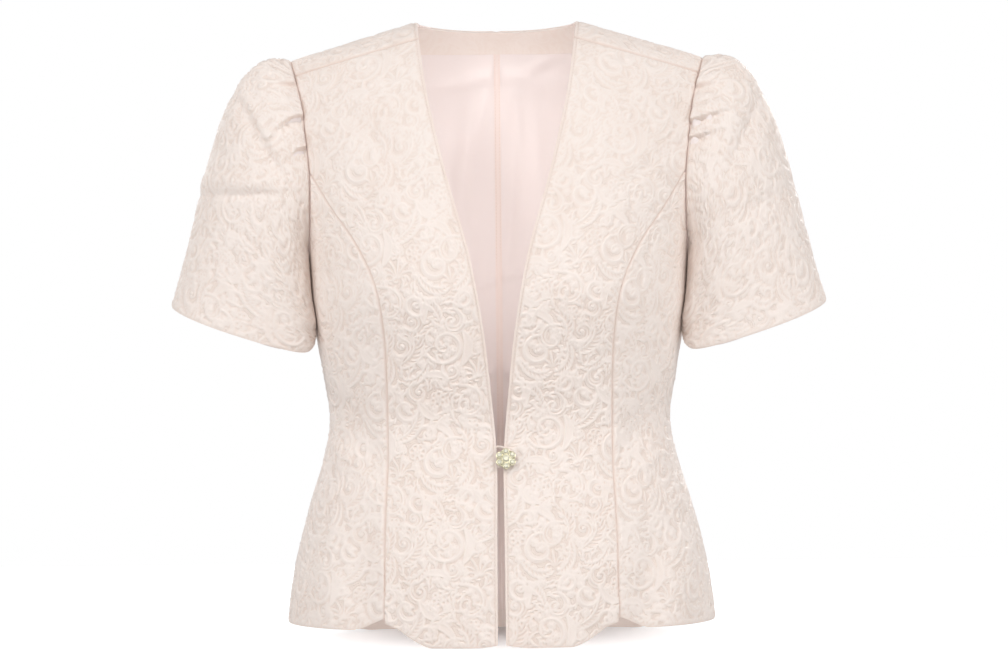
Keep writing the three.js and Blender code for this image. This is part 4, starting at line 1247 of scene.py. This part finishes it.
print("highest tuck, in mm:", max(float(rows["rise"].max()) for rows in TUCKS.values()))

# %% Make the sleeves
AROUND, DOWN = 290, 190
# Columns stand closer together at the head, by this share.
HEAD_CROWD = 0.42
SLEEVE_LAID_AT, LEFT_SLEEVE_FURTHER = (40, 20), (95, 61)


def make_sleeve(side, sign):
    even = 2 * np.pi * np.arange(AROUND) / AROUND
    turns = (np.pi + even + HEAD_CROWD * np.sin(even)) % (2 * np.pi)
    shares = np.linspace(0, 1, DOWN + 1)
    face, level, points = armhole_line(sign, turns)
    plain = sleeve_curves(points, turns, shares)
    soften = ease(9 * shares)[:, None]
    form = tuck_rise(sign, face, level, shares) + crease_rise(sign, face, plain) * soften
    out = outward(plain)
    shaped = plain + out * form[..., None]
    out = outward(shaped)
    middle = AROUND // 2
    closed = np.concatenate([shaped, shaped[:, :1]], 1)
    across, down = running(closed, 1), running(shaped, 0)
    round_it = across[:, -1:]
    across = across[:, :-1]
    place = np.array(SLEEVE_LAID_AT) + np.array(LEFT_SLEEVE_FURTHER) * (sign > 0)
    u = sign * (across - across[:, middle:middle + 1]) + place[0]
    v = down[-1:] - down + place[1]
    seam = [np.minimum(across, round_it - across)]
    calm = 1 - under_arm(plain) * (np.cos(turns) < 0)
    folds = tuck_folds(sign, face, level, shares)
    lift, weave = relief(u, v, [down[-1:] - down], [down], seam, folds=folds, calm=calm)
    outer = shaped + out * lift[..., None]
    skip = (slice(None, None, COARSE), slice(None, None, COARSE))
    inner = shaped[skip] - out[skip] * CLOTH_WALL
    mirror = np.array([sign, 1, 1])
    points, faces = wall(outer * mirror, inner * mirror, ring=True)
    finish = np.repeat([0, 1, 0], [len(f) for f in faces])
    flat = np.stack([u, v], -1)
    cloth = np.concatenate([flat.reshape(-1, 2), flat[skip].reshape(-1, 2)])
    obj = build(f"shell_sleeve_{side}", points, faces, [BROCADE, LINING], finish, cloth,
                with_inside(weave, inner))
    dress(obj, [f"sleeve_{side}"])


for side, sign in SIDES:
    make_sleeve(side, sign)

# %% [markdown]
# ## The back lining and the neck facing
# Inside the back hangs a satin lining in two halves, with a seam down the middle that is sewn
# twice, and at the neck a facing of the shell's own cloth. A lining is always a little wider than
# the shell, so it lies in soft folds. A cloth simulation could find those, but the gap behind the
# lining is half a millimetre, and here each fold has its own place. So the lining is the back's own
# surface, moved in by the cloth's thickness and a gap, with the folds added. The facing is made in
# the same way, and its figure is pressed nearly flat, so only its colour shows it.

# %% A layer inside the back
LINING_WALL, LINING_GAP = 1.0, 0.5
SEAM_SINK = 0.6


def inner_layer(grids, folds, sewn, figure_share):
    """A thin wall inside the back, between the back's points moved in by two depths. It is thinner
    where it is sewn. Gives its points, faces, places on the cloth, and what the shader needs."""
    point, out, u, v = grids
    start = CLOTH_WALL + LINING_GAP
    shape = point + out * folds[..., None]
    near = sunk(BACK, shape, out, start)
    far = sunk(BACK, shape, out, start + LINING_WALL - (SEAM_SINK * sewn)[..., None])
    flat = np.stack([u, v], -1).reshape(-1, 2)
    cloth = np.concatenate([flat, flat])
    figure = 0.5 + figure_share * (at_cloth(figure_tile, cloth[:, 0], cloth[:, 1]) - 0.35)
    # The sewn lines carry painted shade into the satin's colour.
    return *wall(near, far), cloth, (figure, 0 * figure, np.tile(clamp01(sewn).ravel(), 2))


print("satin stands off the back's points by, in mm:", CLOTH_WALL + LINING_GAP)

# %% The satin lining
LINING_FOLDS = table("face x z turn length width rise", [
    (BACK, 3, -249, 73, 30, 3.5, 3.0), (BACK, -30, -50, 78, 40, 7, 1.8),
    (BACK, 30, -49, 96, 44, 7, 1.6), (BACK, -16, -82, 14, 34, 6, 1.8),
    (BACK, 20, -86, -12, 36, 7, 1.6), (BACK, 44, -34, 60, 20, 5, 2.0),
    (BACK, -34, -130, 6, 70, 7, 2.2), (BACK, 42, -150, -4, 80, 8, 2.2),
    (BACK, 13, -190, 4, 80, 5, 1.6), (BACK, -24, -330, 3, 90, 6, 2.2),
    (BACK, 30, -340, -2, 90, 7, 2.0), (BACK, 0, -345, 85, 40, 5, 2.4),
    (BACK, -70, -440, 2, 90, 8, 1.2), (BACK, 66, -450, -3, 90, 8, 1.2),
    (BACK, -44, -52, 80, 24, 5, 0.8),
])
FACING_EDGE, LINING_HEM = -28.0, -582.0
FACING_LEVELS = roll_levels(PRINCESS_TOP, 12)
FACING_START = float(FACING_LEVELS[FACING_LEVELS > FACING_EDGE][0])
# The seam down the middle is sewn again on each side of it. The columns are closer together there.
LINING_STITCH, LINING_COLUMNS, LINING_CROWD = 2.0, 50, 1.9
# A fold may stand towards the shell by no more than this.
FOLD_LIMIT = 0.35
# The stitches lie this much less deep than the lining's face, in its sewn dip.
STITCH_SUNK = 0.55


def make_lining(side, sign):
    levels = np.concatenate([np.linspace(LINING_HEM, UNDERARM, 86),
                             np.linspace(UNDERARM, PRINCESS_TOP, 29)[1:], roll_levels(PRINCESS_TOP, 40)[1:]])
    levels = np.concatenate([levels[levels < FACING_START - 1.5], [FACING_START - SEAM_GAP]])
    made = PANELS["back"]
    grids = panel_grid(BACK, sign, levels, made["inner"], made["outer"], LINING_COLUMNS, LINING_CROWD)
    point, out, u, v = grids
    x = point[..., 0]
    fade = ease((np.abs(x) - 1) / 6) * ease((levels[:, None] - LINING_HEM) / 30 + 0.2)
    folds = np.minimum(-fold_rise(BACK, point, LINING_FOLDS) * fade, FOLD_LIMIT)
    sewn = bell((np.abs(x) - LINING_STITCH) / 0.9) + 0.8 * bell(x / 0.8)
    depth = CLOTH_WALL + LINING_GAP + LINING_WALL - STITCH_SUNK
    SPOTS[f"lining_{side}"] = (point - out * depth, -out, running(point, 1))
    points, faces, cloth, weave = inner_layer(grids, folds, sewn, 0.0)
    obj = build(f"satin_back_{side}", points, faces, [LINING], None, cloth, weave)
    dress(obj, [f"back_lining_{side}"])


for side, sign in SIDES:
    make_lining(side, sign)


# %% The neck facing
FACING_ROWS, FACING_COLUMNS, FACING_FIGURE = 24, 60, 0.3


def make_facing():
    """One strip from neck point to neck point: the right half's columns in reverse, without the
    middle one, and then the left half's."""
    levels = np.linspace(FACING_START, SHOULDER, FACING_ROWS)
    halves = [panel_grid(BACK, sign, levels, lambda level: 0 * level,
                         lambda level: angle_at(NECK_HALF_WIDTH, level), FACING_COLUMNS)
              for _, sign in SIDES]
    grids = [np.concatenate([right[:, :0:-1], left], 1) for right, left in zip(*halves)]
    u, v = grids[2:]
    plain_grid = np.zeros_like(u)
    points, faces, cloth, weave = inner_layer(grids, plain_grid, plain_grid, FACING_FIGURE)
    obj = build("brocade_neck_facing", points, faces, [BROCADE], None, cloth, weave)
    dress(obj, ["neck_facing"])


make_facing()

# %% [markdown]
# ## Topstitching
# A line of small stitches holds each front edge flat, a few millimetres in from it, from the hem
# round the V to the neck. A dashed line could be painted, but a stitch is a short piece of thread
# that dents the cloth and catches light, so each is its own small rounded bar. All the stitches
# of a line are one mesh, made at once. Two more lines hold the seam down the middle of the lining.

# %% One stitch, many times
def bars(centres, along, out, length, half_width, half_height):
    """Rounded bars, one at each centre: rings of six points whose size goes as the square root of
    one minus the fourth power of the place along, closed at each tip."""
    place = np.array([-1, -0.8, 0, 0.8, 1.0])
    size = np.sqrt(np.clip(1 - place ** 4, 0.04, 1))
    turn = np.arange(6) * np.pi / 3
    side = unit(np.cross(along, out))
    local = np.stack([
        np.repeat(place * length / 2, 6),
        np.outer(size, np.cos(turn)).ravel() * half_width,
        np.outer(size, np.sin(turn)).ravel() * half_height,
    ], 1)
    frame_of = np.stack([along, side, out], 1)
    points = centres[:, None] + np.einsum("pk,nkd->npd", local, frame_of)
    ring = np.arange(30).reshape(5, 6)
    ring = np.concatenate([ring, ring[:, :1]], 1)
    quads = grid_faces(ring)
    tips = np.array([[5, 4, 3, 2, 1, 0], [24, 25, 26, 27, 28, 29]])
    shift = 30 * np.arange(len(centres))[:, None, None]
    faces = [(quads[None] + shift).reshape(-1, 4), (tips[None] + shift).reshape(-1, 6)]
    return points.reshape(-1, 3), faces


bar = bars(np.zeros((1, 3)), np.eye(3)[:1], np.eye(3)[2:], 1.0, 0.1, 0.1)
print("faces of one stitch:", sum(len(f) for f in bar[1]))


# %% Lines of stitches
STITCH = dict(length=2.4, pitch=3.5, half_width=0.34, half_height=0.2)
# A line starts and ends this far from the ends of its edge, and lies this deep in the cloth.
LINE_START, LINE_END, SETTLED = 5, 6, 0.02


def line_at(grid, distance, across):
    """The point of each row that lies at a distance from the row's start."""
    return np.stack([[np.interp(distance, row, grid[i, :, k]) for i, row in enumerate(across)]
                     for k in range(3)], 1)


def spaced(line, out, pitch, start, end):
    """Points every pitch along a line, with the directions along it and outwards."""
    lengths = np.concatenate([[0], np.cumsum(np.linalg.norm(np.diff(line, axis=0), axis=1))])
    at = np.arange(start, lengths[-1] - end, pitch)
    pick = [np.stack([np.interp(at + shift, lengths, values[:, k]) for k in range(3)], 1)
            for values, shift in ((line, 0), (line, 0.5), (out, 0))]
    return pick[0], unit(pick[1] - pick[0]), unit(pick[2])


def make_stitches(side, inset):
    point, out, across = SPOTS[side]
    line, outs = line_at(point, inset, across), line_at(out, inset, across)
    centres, along, away = spaced(line, outs, STITCH["pitch"], LINE_START, LINE_END)
    away = unit(away - along * (away * along).sum(1, keepdims=True))
    points, faces = bars(centres - away * SETTLED, along, away, STITCH["length"],
                         STITCH["half_width"], STITCH["half_height"])
    dress(build(f"topstitch_{side}", points, faces, [THREAD], None, points[:, [0, 2]]), [])
    print("  stitches:", len(centres))


for prefix, inset in (("", STITCH_INSET), ("lining_", LINING_STITCH)):
    for side, _ in SIDES:
        make_stitches(prefix + side, inset)

# %% [markdown]
# ## The jewelled button and its loop
# The button is a flower of seven clear stones, each in a rim of pale gilt on a lobed plate, and a
# cord loop from the other front catches it. A turned disc would do from far away. Up close the
# rims, the claws that hold each stone and the facets make it sparkle, so each is modelled. They
# are built flat, facing +Z, and then stood on the left front's cloth.

# %% Where the button stands
BUTTON = dict(x=5.3, level=-424.2, petals=6, petal_ring=7.1, petal_radius=2.5, centre_radius=3.3)
button_level = np.array(BUTTON["level"])
seat, seat_out = body_point(FRONT, 1, angle_at(BUTTON["x"], button_level), button_level)
across_it = np.array([1.0, 0, 0])
SEAT_FRAME = np.stack([across_it, unit(np.cross(seat_out, across_it)), unit(seat_out * [0, 1, 1])])


def seated(local):
    """Points of the flat button, moved to where it stands."""
    return seat + np.asarray(local) @ SEAT_FRAME


print("button stands at, in mm:", seat.round(1))


# %% Round shapes
def revolved(radii, heights, sides, lobes=None):
    """A closed round shape from a profile that starts and ends on its axis. lobes multiplies the
    radius at each angle."""
    turn = np.arange(sides) * 2 * np.pi / sides
    grow = np.ones(sides) if lobes is None else lobes(turn)
    r = np.asarray(radii)[1:-1, None] * grow
    z = np.repeat(np.asarray(heights)[1:-1, None], sides, 1)
    body = np.stack([r * np.cos(turn), r * np.sin(turn), z], -1)
    poles = np.array([[0, 0, heights[0]], [0, 0, heights[-1]]])
    points = np.concatenate([body.reshape(-1, 3), poles])
    index = np.arange(body.shape[0] * sides).reshape(-1, sides)
    ring = np.concatenate([index, index[:, :1]], 1)
    first, last = len(points) - 2, len(points) - 1
    caps = [np.stack([ring[0, 1:], ring[0, :-1], np.full(sides, first)], 1),
            np.stack([ring[-1, :-1], ring[-1, 1:], np.full(sides, last)], 1)]
    return points, [grid_faces(ring), np.concatenate(caps)]


def joined(shapes):
    """Several closed shapes as one set of points and faces."""
    points, faces, start = [], [], 0
    for shape_points, shape_faces in shapes:
        shape_faces = outwards_faces(shape_points, shape_faces)
        points.append(shape_points)
        faces += [f + start for f in shape_faces]
        start += len(shape_points)
    return np.concatenate(points), faces


def ring_of(radius, tube, height, around=40, section=10):
    """A ring of round wire lying flat."""
    a, b = np.meshgrid(np.arange(around) * 2 * np.pi / around, np.arange(section) * 2 * np.pi / section,
                       indexing="ij")
    r = radius + tube * np.cos(b)
    points = np.stack([r * np.cos(a), r * np.sin(a), height + tube * np.sin(b)], -1).reshape(-1, 3)
    index = np.arange(around * section).reshape(around, section)
    index = np.concatenate([index, index[:1]])
    return points, [grid_faces(np.concatenate([index, index[:, :1]], 1))]


def bead(x, y, z, radius):
    turn = np.linspace(0, np.pi, 7)
    radii = np.append(radius * np.sin(turn)[:-1], 0)
    points, faces = revolved(radii, z - radius * np.cos(turn), 8)
    return points + [x, y, 0], faces


print("points of a small bead:", len(bead(0, 0, 0, 1.0)[0]))

# %% The gilt plate
PLATE_BACK, PLATE_FRONT = 3.55, 4.95
PLATE_REACH = BUTTON["petal_ring"] + BUTTON["petal_radius"] + 0.5
LOBE_DEPTH, LOBE_POWER = 2.2, 0.7
# Each stone stands in a wire rim on a lower ring, with four claws. A bead fills each valley.
RIM = dict(wire=0.34, out=0.02, height=0.5)
LOW_RING = dict(wire=0.42, out=0.05, height=0.1)
CLAW = dict(radius=0.42, inside=0.1, height=1.15, count=4)
VALLEY_BEAD = dict(radius=0.6, ring=8.0, height=0.15)


def lobed(turn):
    """The plate's edge: a lobe under each petal, as the cosine of half the petals' angle."""
    lobe = np.abs(np.cos(BUTTON["petals"] * (turn - np.pi / 2) / 2)) ** LOBE_POWER
    return (PLATE_REACH - LOBE_DEPTH + LOBE_DEPTH * lobe) / PLATE_REACH


def stone_places():
    turn = np.pi / 2 + 2 * np.pi * np.arange(BUTTON["petals"]) / BUTTON["petals"]
    ring = BUTTON["petal_ring"]
    return [(0.0, 0.0, BUTTON["centre_radius"])] + [
        (ring * np.cos(t), ring * np.sin(t), BUTTON["petal_radius"]) for t in turn]


def make_plate():
    radii = np.array([0, 0.97, 1, 1, 0.96, 0.9, 0]) * PLATE_REACH
    heights = [PLATE_BACK, PLATE_BACK, PLATE_BACK + 0.25, PLATE_FRONT - 0.5, PLATE_FRONT - 0.2,
               PLATE_FRONT - 0.05, PLATE_FRONT]
    shapes = [revolved(radii, heights, 144, lobed)]
    for x, y, radius in stone_places():
        for ring in (RIM, LOW_RING):
            wire, faces = ring_of(radius + ring["out"], ring["wire"], PLATE_FRONT + ring["height"])
            shapes.append((wire + [x, y, 0], faces))
        claws = np.pi / 4 + np.arange(CLAW["count"]) * 2 * np.pi / CLAW["count"]
        reach = radius - CLAW["inside"]
        shapes += [bead(x + reach * np.cos(t), y + reach * np.sin(t), PLATE_FRONT + CLAW["height"],
                        CLAW["radius"]) for t in claws]
    valleys = np.arange(BUTTON["petals"]) * np.pi / 3 + np.pi / 2 + np.pi / 6
    ring, height = VALLEY_BEAD["ring"], PLATE_FRONT + VALLEY_BEAD["height"]
    shapes += [bead(ring * np.cos(t), ring * np.sin(t), height, VALLEY_BEAD["radius"]) for t in valleys]
    points, faces = joined(shapes)
    dress(build("button_gilt_plate", seated(points), faces, [GILT], sharp=35), ["button_plate"])


make_plate()

# %% The shank
SHANK_FOOT, SHANK_LENGTH = 0.45, 2.8
SHANK_RADII = [0, 1.7, 2, 2, 1.6, 1.6, 2, 2, 1.7, 0]
SHANK_HEIGHTS = SHANK_FOOT + SHANK_LENGTH * np.array([0, 0, 0.08, 0.2, 0.35, 0.65, 0.8, 0.92, 1, 1])
points, faces = revolved(SHANK_RADII, SHANK_HEIGHTS, 32)
dress(build("button_gilt_shank", seated(points), faces, [GILT], sharp=35), ["button_shank"])

# %% The cut stones
STONE_HEIGHT, STONE_SIDES, STONE_LIFT, STONE_SHARE = 2.6, 16, 0.3, 0.97
# Rings of a brilliant, from its back to its table, as shares of its radius and of its height.
BRILLIANT = [(0.55, 0.05), (0.93, 0.3), (0.95, 0.4), (0.8, 0.7), (0.58, 0.8)]


def cut_stone(radius):
    """A brilliant: sixteen-sided rings for the back, the girdle, the crown and the table, each
    turned half a side against the last, so that the facets between them are triangles."""
    sides = STONE_SIDES
    tall = STONE_HEIGHT * (radius / BUTTON["petal_radius"]) ** 0.5
    points, faces = [], []
    for k, (share, height) in enumerate(BRILLIANT):
        turn = (np.arange(sides) + 0.5 * (k % 2)) * 2 * np.pi / sides
        points.append(np.stack([radius * share * np.cos(turn), radius * share * np.sin(turn),
                                np.full(sides, height * tall)], 1))
    low = np.arange(sides)
    for k in range(len(BRILLIANT) - 1):
        a, b = low + k * sides, (low + 1) % sides + k * sides
        c, d = a + sides, b + sides
        if k % 2:
            faces.append(np.concatenate([np.stack([a, b, d], 1), np.stack([a, d, c], 1)]))
        else:
            faces.append(np.concatenate([np.stack([a, b, c], 1), np.stack([b, d, c], 1)]))
    faces.append(low[::-1][None])
    faces.append(low[None] + (len(BRILLIANT) - 1) * sides)
    return np.concatenate(points), faces


for number, (x, y, radius) in enumerate(stone_places()):
    points, faces = cut_stone(radius * STONE_SHARE)
    points = seated(points + [x, y, PLATE_FRONT + STONE_LIFT])
    name = f"button_stone_{number}" if number else "button_stone_centre"
    dress(build(f"cut_{name}", points, faces, [STONE], sharp=0), [name])

# %% The cord loop
LOOP_RADIUS, LOOP_STEPS = 1.25, 120
# The loop's line in the button's own directions: across, up, and out from the cloth.
LOOP_LINE = np.array([
    (-8.6, 11.6, -0.9), (-7.3, 12.2, -0.3), (-3.6, 11.4, 1.7), (1.2, 8.0, 1.8), (3.9, 2.4, 1.8),
    (3.7, -2.6, 1.8), (1.0, -5.4, 1.8), (-2.8, -6.5, 1.7), (-6.3, -6.7, -0.4), (-7.6, -6.6, -0.9)])


def through(points, steps):
    """A smooth line through points: between two of them, the cubic whose slope at each is half
    the way between its neighbours."""
    padded = np.concatenate([[2 * points[0] - points[1]], points, [2 * points[-1] - points[-2]]])
    t = np.linspace(0, len(points) - 1, steps)
    i = np.minimum(t.astype(int), len(points) - 2)
    f = (t - i)[:, None]
    p0, p1, p2, p3 = (padded[i + k] for k in range(4))
    return 0.5 * (2 * p1 + (p2 - p0) * f + (2 * p0 - 5 * p1 + 4 * p2 - p3) * f ** 2
                  + (3 * p1 - p0 - 3 * p2 + p3) * f ** 3)


def twisted_cord(line, radius, strands=3, turns=9, around=18):
    """A tube whose section is a circle with a shallow wave for each strand, turning as it runs."""
    along = unit(np.gradient(line, axis=0))
    side = unit(np.cross(along, [0, 0, 1.0]) + 1e-6)
    up = np.cross(side, along)
    angle = np.arange(around) * 2 * np.pi / around
    turn = np.linspace(0, 2 * np.pi * turns, len(line))[:, None]
    r = radius * (0.9 + 0.1 * np.abs(np.sin((angle * strands + turn) / 2)))
    sideways, upwards = (r * np.cos(angle))[..., None], (r * np.sin(angle))[..., None]
    tube = line[:, None] + side[:, None] * sideways + up[:, None] * upwards
    index = np.arange(len(line) * around).reshape(-1, around)
    ring = np.concatenate([index, index[:, :1]], 1)
    faces = [grid_faces(ring), index[:1, ::-1], index[-1:]]
    lengths = np.repeat(np.linspace(0, 60, len(line)), around)
    return tube.reshape(-1, 3), faces, np.stack([np.tile(angle * radius, len(line)), lengths], 1)


points, faces, cord_map = twisted_cord(through(LOOP_LINE, LOOP_STEPS), LOOP_RADIUS)
dress(build("cord_loop", seated(points), faces, [THREAD], None, cord_map), ["button_loop"])

# %% [markdown]
# ## The camera
# The photograph is taken from far in front with a long lens, level with the middle of the jacket,
# against white. The jacket leans about half a degree to one side in it, so the camera is rolled
# by that much. The lens could be guessed by eye. Here it comes from the picture's width and a
# focal length in pixels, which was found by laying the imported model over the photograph.

# %% Camera
PICTURE_WIDTH_PX, FOCAL_PX, SENSOR_MM = 1008, 3265.0, 36.0
camera_data = bpy.data.cameras.new("photo camera")
camera_data.sensor_width = SENSOR_MM
camera_data.lens = FOCAL_PX * SENSOR_MM / PICTURE_WIDTH_PX
camera_data.clip_end = 100
camera = bpy.data.objects.new("photo camera", camera_data)
camera.location = (0.0046, -3.2, -0.3077)
camera.rotation_euler = (np.radians(90), np.radians(0.55), 0)
bpy.context.scene.collection.objects.link(camera)
bpy.context.scene.camera = camera
print("lens, in mm:", round(camera_data.lens, 1))

# %% [markdown]
# ## The floor
# The jacket is shown on white, with a faint soft shadow under its hem. A plain grey floor would
# show an edge against the white surroundings. This one glows towards the camera, more and more
# away from the hem, which leaves a painted shadow by the hem on top of the shadow that the lights
# cast there. It lies just under the hem.

# %% Floor
FLOOR_Z, FLOOR_REACH = -0.6068, 1.1
# The glow starts round a point near the back hem, which keeps a painted shadow, and grows over
# these distances, in metres.
GLOW_SCALE, GLOW_OFFSET = (1.25, 1.0, 0.0), (0.0, -0.17, 0.0)
GLOW_START, GLOW_FULL = 0.03, 0.36


def floor_material():
    """Pale grey that glows towards the eye by the distance from its darkest point, so that it runs
    into the white surroundings with no edge. The glow leaves a painted shadow round its darkest
    point, by the back hem."""
    material, tree, shader = plain("pale floor", (0.8, 0.8, 0.8), 0.9, Emission_Color=(1, 1, 1, 1))
    place = node(tree, "ShaderNodeTexCoord")
    from_hem = node(tree, "ShaderNodeVectorMath", operation="MULTIPLY_ADD")
    from_hem.inputs[1].default_value = GLOW_SCALE
    from_hem.inputs[2].default_value = GLOW_OFFSET
    far = node(tree, "ShaderNodeVectorMath", operation="LENGTH")
    links(tree, (place.outputs["Object"], from_hem.inputs[0]), (from_hem.outputs[0], far.inputs[0]))
    # The glow is missing near the back hem, which paints a shadow there.
    glow = node(tree, "ShaderNodeMapRange", interpolation_type="SMOOTHSTEP")
    for socket, value in (("From Min", GLOW_START), ("From Max", GLOW_FULL)):
        glow.inputs[socket].default_value = value
    path = node(tree, "ShaderNodeLightPath")
    seen = math_node(tree, "MULTIPLY")
    links(tree, (far.outputs["Value"], glow.inputs["Value"]),
          (glow.outputs[0], seen.inputs[0]), (path.outputs["Is Camera Ray"], seen.inputs[1]),
          (seen.outputs[0], shader.inputs["Emission Strength"]))
    return material


floor_mesh = bpy.data.meshes.new("floor")
floor_mesh.from_pydata([(x * FLOOR_REACH, y * FLOOR_REACH, FLOOR_Z)
                        for x, y in ((-1, -1), (1, -1), (1, 1), (-1, 1))], [], [(0, 1, 2, 3)])
floor_mesh.materials.append(floor_material())
floor = bpy.data.objects.new("floor", floor_mesh)
bpy.context.scene.collection.objects.link(floor)
print("floor lies at, in mm:", 1000 * FLOOR_Z)

# %% [markdown]
# ## The lights
# The photograph has soft light from both sides of the camera, a little more from the left, and the
# inside of the jacket is nearly as light as the outside. One big light would leave the inside and
# the underarms dark. So two soft lights stand high at the left and the right, two broad ones fill
# in from the sides, and a small one stands in front. Faint small ones light the lining, the
# underarms and the backs of the hem's notches, where real cloth lets light through. Two stand
# behind, for a view from there. The faint ones and the two behind leave the floor alone.

# %% Lights
def area_light(name, at, towards, power, size, on_floor=True):
    data = bpy.data.lights.new(name, "AREA")
    data.energy, data.shape, data.size = power, "DISK", size
    obj = bpy.data.objects.new(name, data)
    obj.location = at
    obj.rotation_euler = (Vector(towards) - Vector(at)).to_track_quat("-Z", "Y").to_euler()
    obj.visible_camera = False
    if not on_floor:
        obj.light_linking.receiver_collection = NOT_FLOOR
    bpy.context.scene.collection.objects.link(obj)


NOT_FLOOR = bpy.data.collections.new("all but the floor")
NOT_FLOOR.objects.link(floor)
NOT_FLOOR.collection_objects[0].light_linking.link_state = "EXCLUDE"
# Each light's name, place and aim in metres, power in watts and size in metres. The middle of the
# jacket is what the large ones are aimed at.
JACKET = (0, 0, -0.3)
LARGE_LIGHTS = [
    ("key", (-1.3, -1.7, 1.7), JACKET, 23.5, 0.6), ("second key", (1.5, -1.7, 1.6), JACKET, 17.5, 0.6),
    ("fill right", (2.4, -1.2, 0.0), JACKET, 14, 1.2), ("fill left", (-2.4, -1.2, 0.0), JACKET, 11.5, 1.2),
]
ARM_LIGHTS = [
    ("arm right", (-0.19, -0.45, -0.29), (-0.178, -0.04, -0.27), 0.045, 0.1),
    ("arm left", (0.19, -0.45, -0.29), (0.178, -0.04, -0.27), 0.045, 0.1),
]
FRONT_LIGHTS = [("front", (0.1, -1.9, 0.3), (0, 0.1, -0.25), 2.6, 0.5)]
INSIDE_LIGHTS = [
    ("inside", (0, -0.04, -0.1), (0, 0.1, -0.07), 0.072, 0.13),
    ("inside middle", (0, -0.03, -0.24), (0, 0.1, -0.22), 0.083, 0.12),
    ("inside low", (0, -0.03, -0.47), (0, 0.1, -0.5), 0.012, 0.1),
    ("notch right", (-0.11, 0.02, -0.56), (-0.11, 0.15, -0.6), 0.05, 0.08),
    ("notch left", (0.11, 0.02, -0.56), (0.11, 0.15, -0.6), 0.05, 0.08),
]
REAR_LIGHTS = [
    ("back left", (1.6, 2.4, 0.9), JACKET, 26, 0.6), ("back right", (-1.8, 2.4, 0.5), JACKET, 10, 0.8),
]
for rows, on_floor in ((LARGE_LIGHTS, True), (ARM_LIGHTS, False), (FRONT_LIGHTS, True),
                       (INSIDE_LIGHTS, False), (REAR_LIGHTS, False)):
    for row in rows:
        area_light(*row, on_floor)


# %% White surroundings
SEEN_WHITE, LIGHT_FROM_IT = 1.0, 0.38


def surroundings(seen, light):
    """White where the camera sees it, and dimmer as a light."""
    world = bpy.data.worlds.new("white surroundings")
    world.use_nodes = True
    bpy.context.scene.world = world
    tree = world.node_tree
    path = node(tree, "ShaderNodeLightPath")
    strength = node(tree, "ShaderNodeMapRange")
    strength.inputs["To Min"].default_value = light
    strength.inputs["To Max"].default_value = seen
    background = tree.nodes["Background"]
    background.inputs["Color"].default_value = (1, 1, 1, 1)
    links(tree, (path.outputs["Is Camera Ray"], strength.inputs["Value"]),
          (strength.outputs[0], background.inputs["Strength"]))


bpy.context.scene.view_settings.view_transform = "Standard"
surroundings(SEEN_WHITE, LIGHT_FROM_IT)
print("view transform:", bpy.context.scene.view_settings.view_transform)

# %% Sizes, and the end
print("triangles in all:", sum(TRIANGLES.values()))
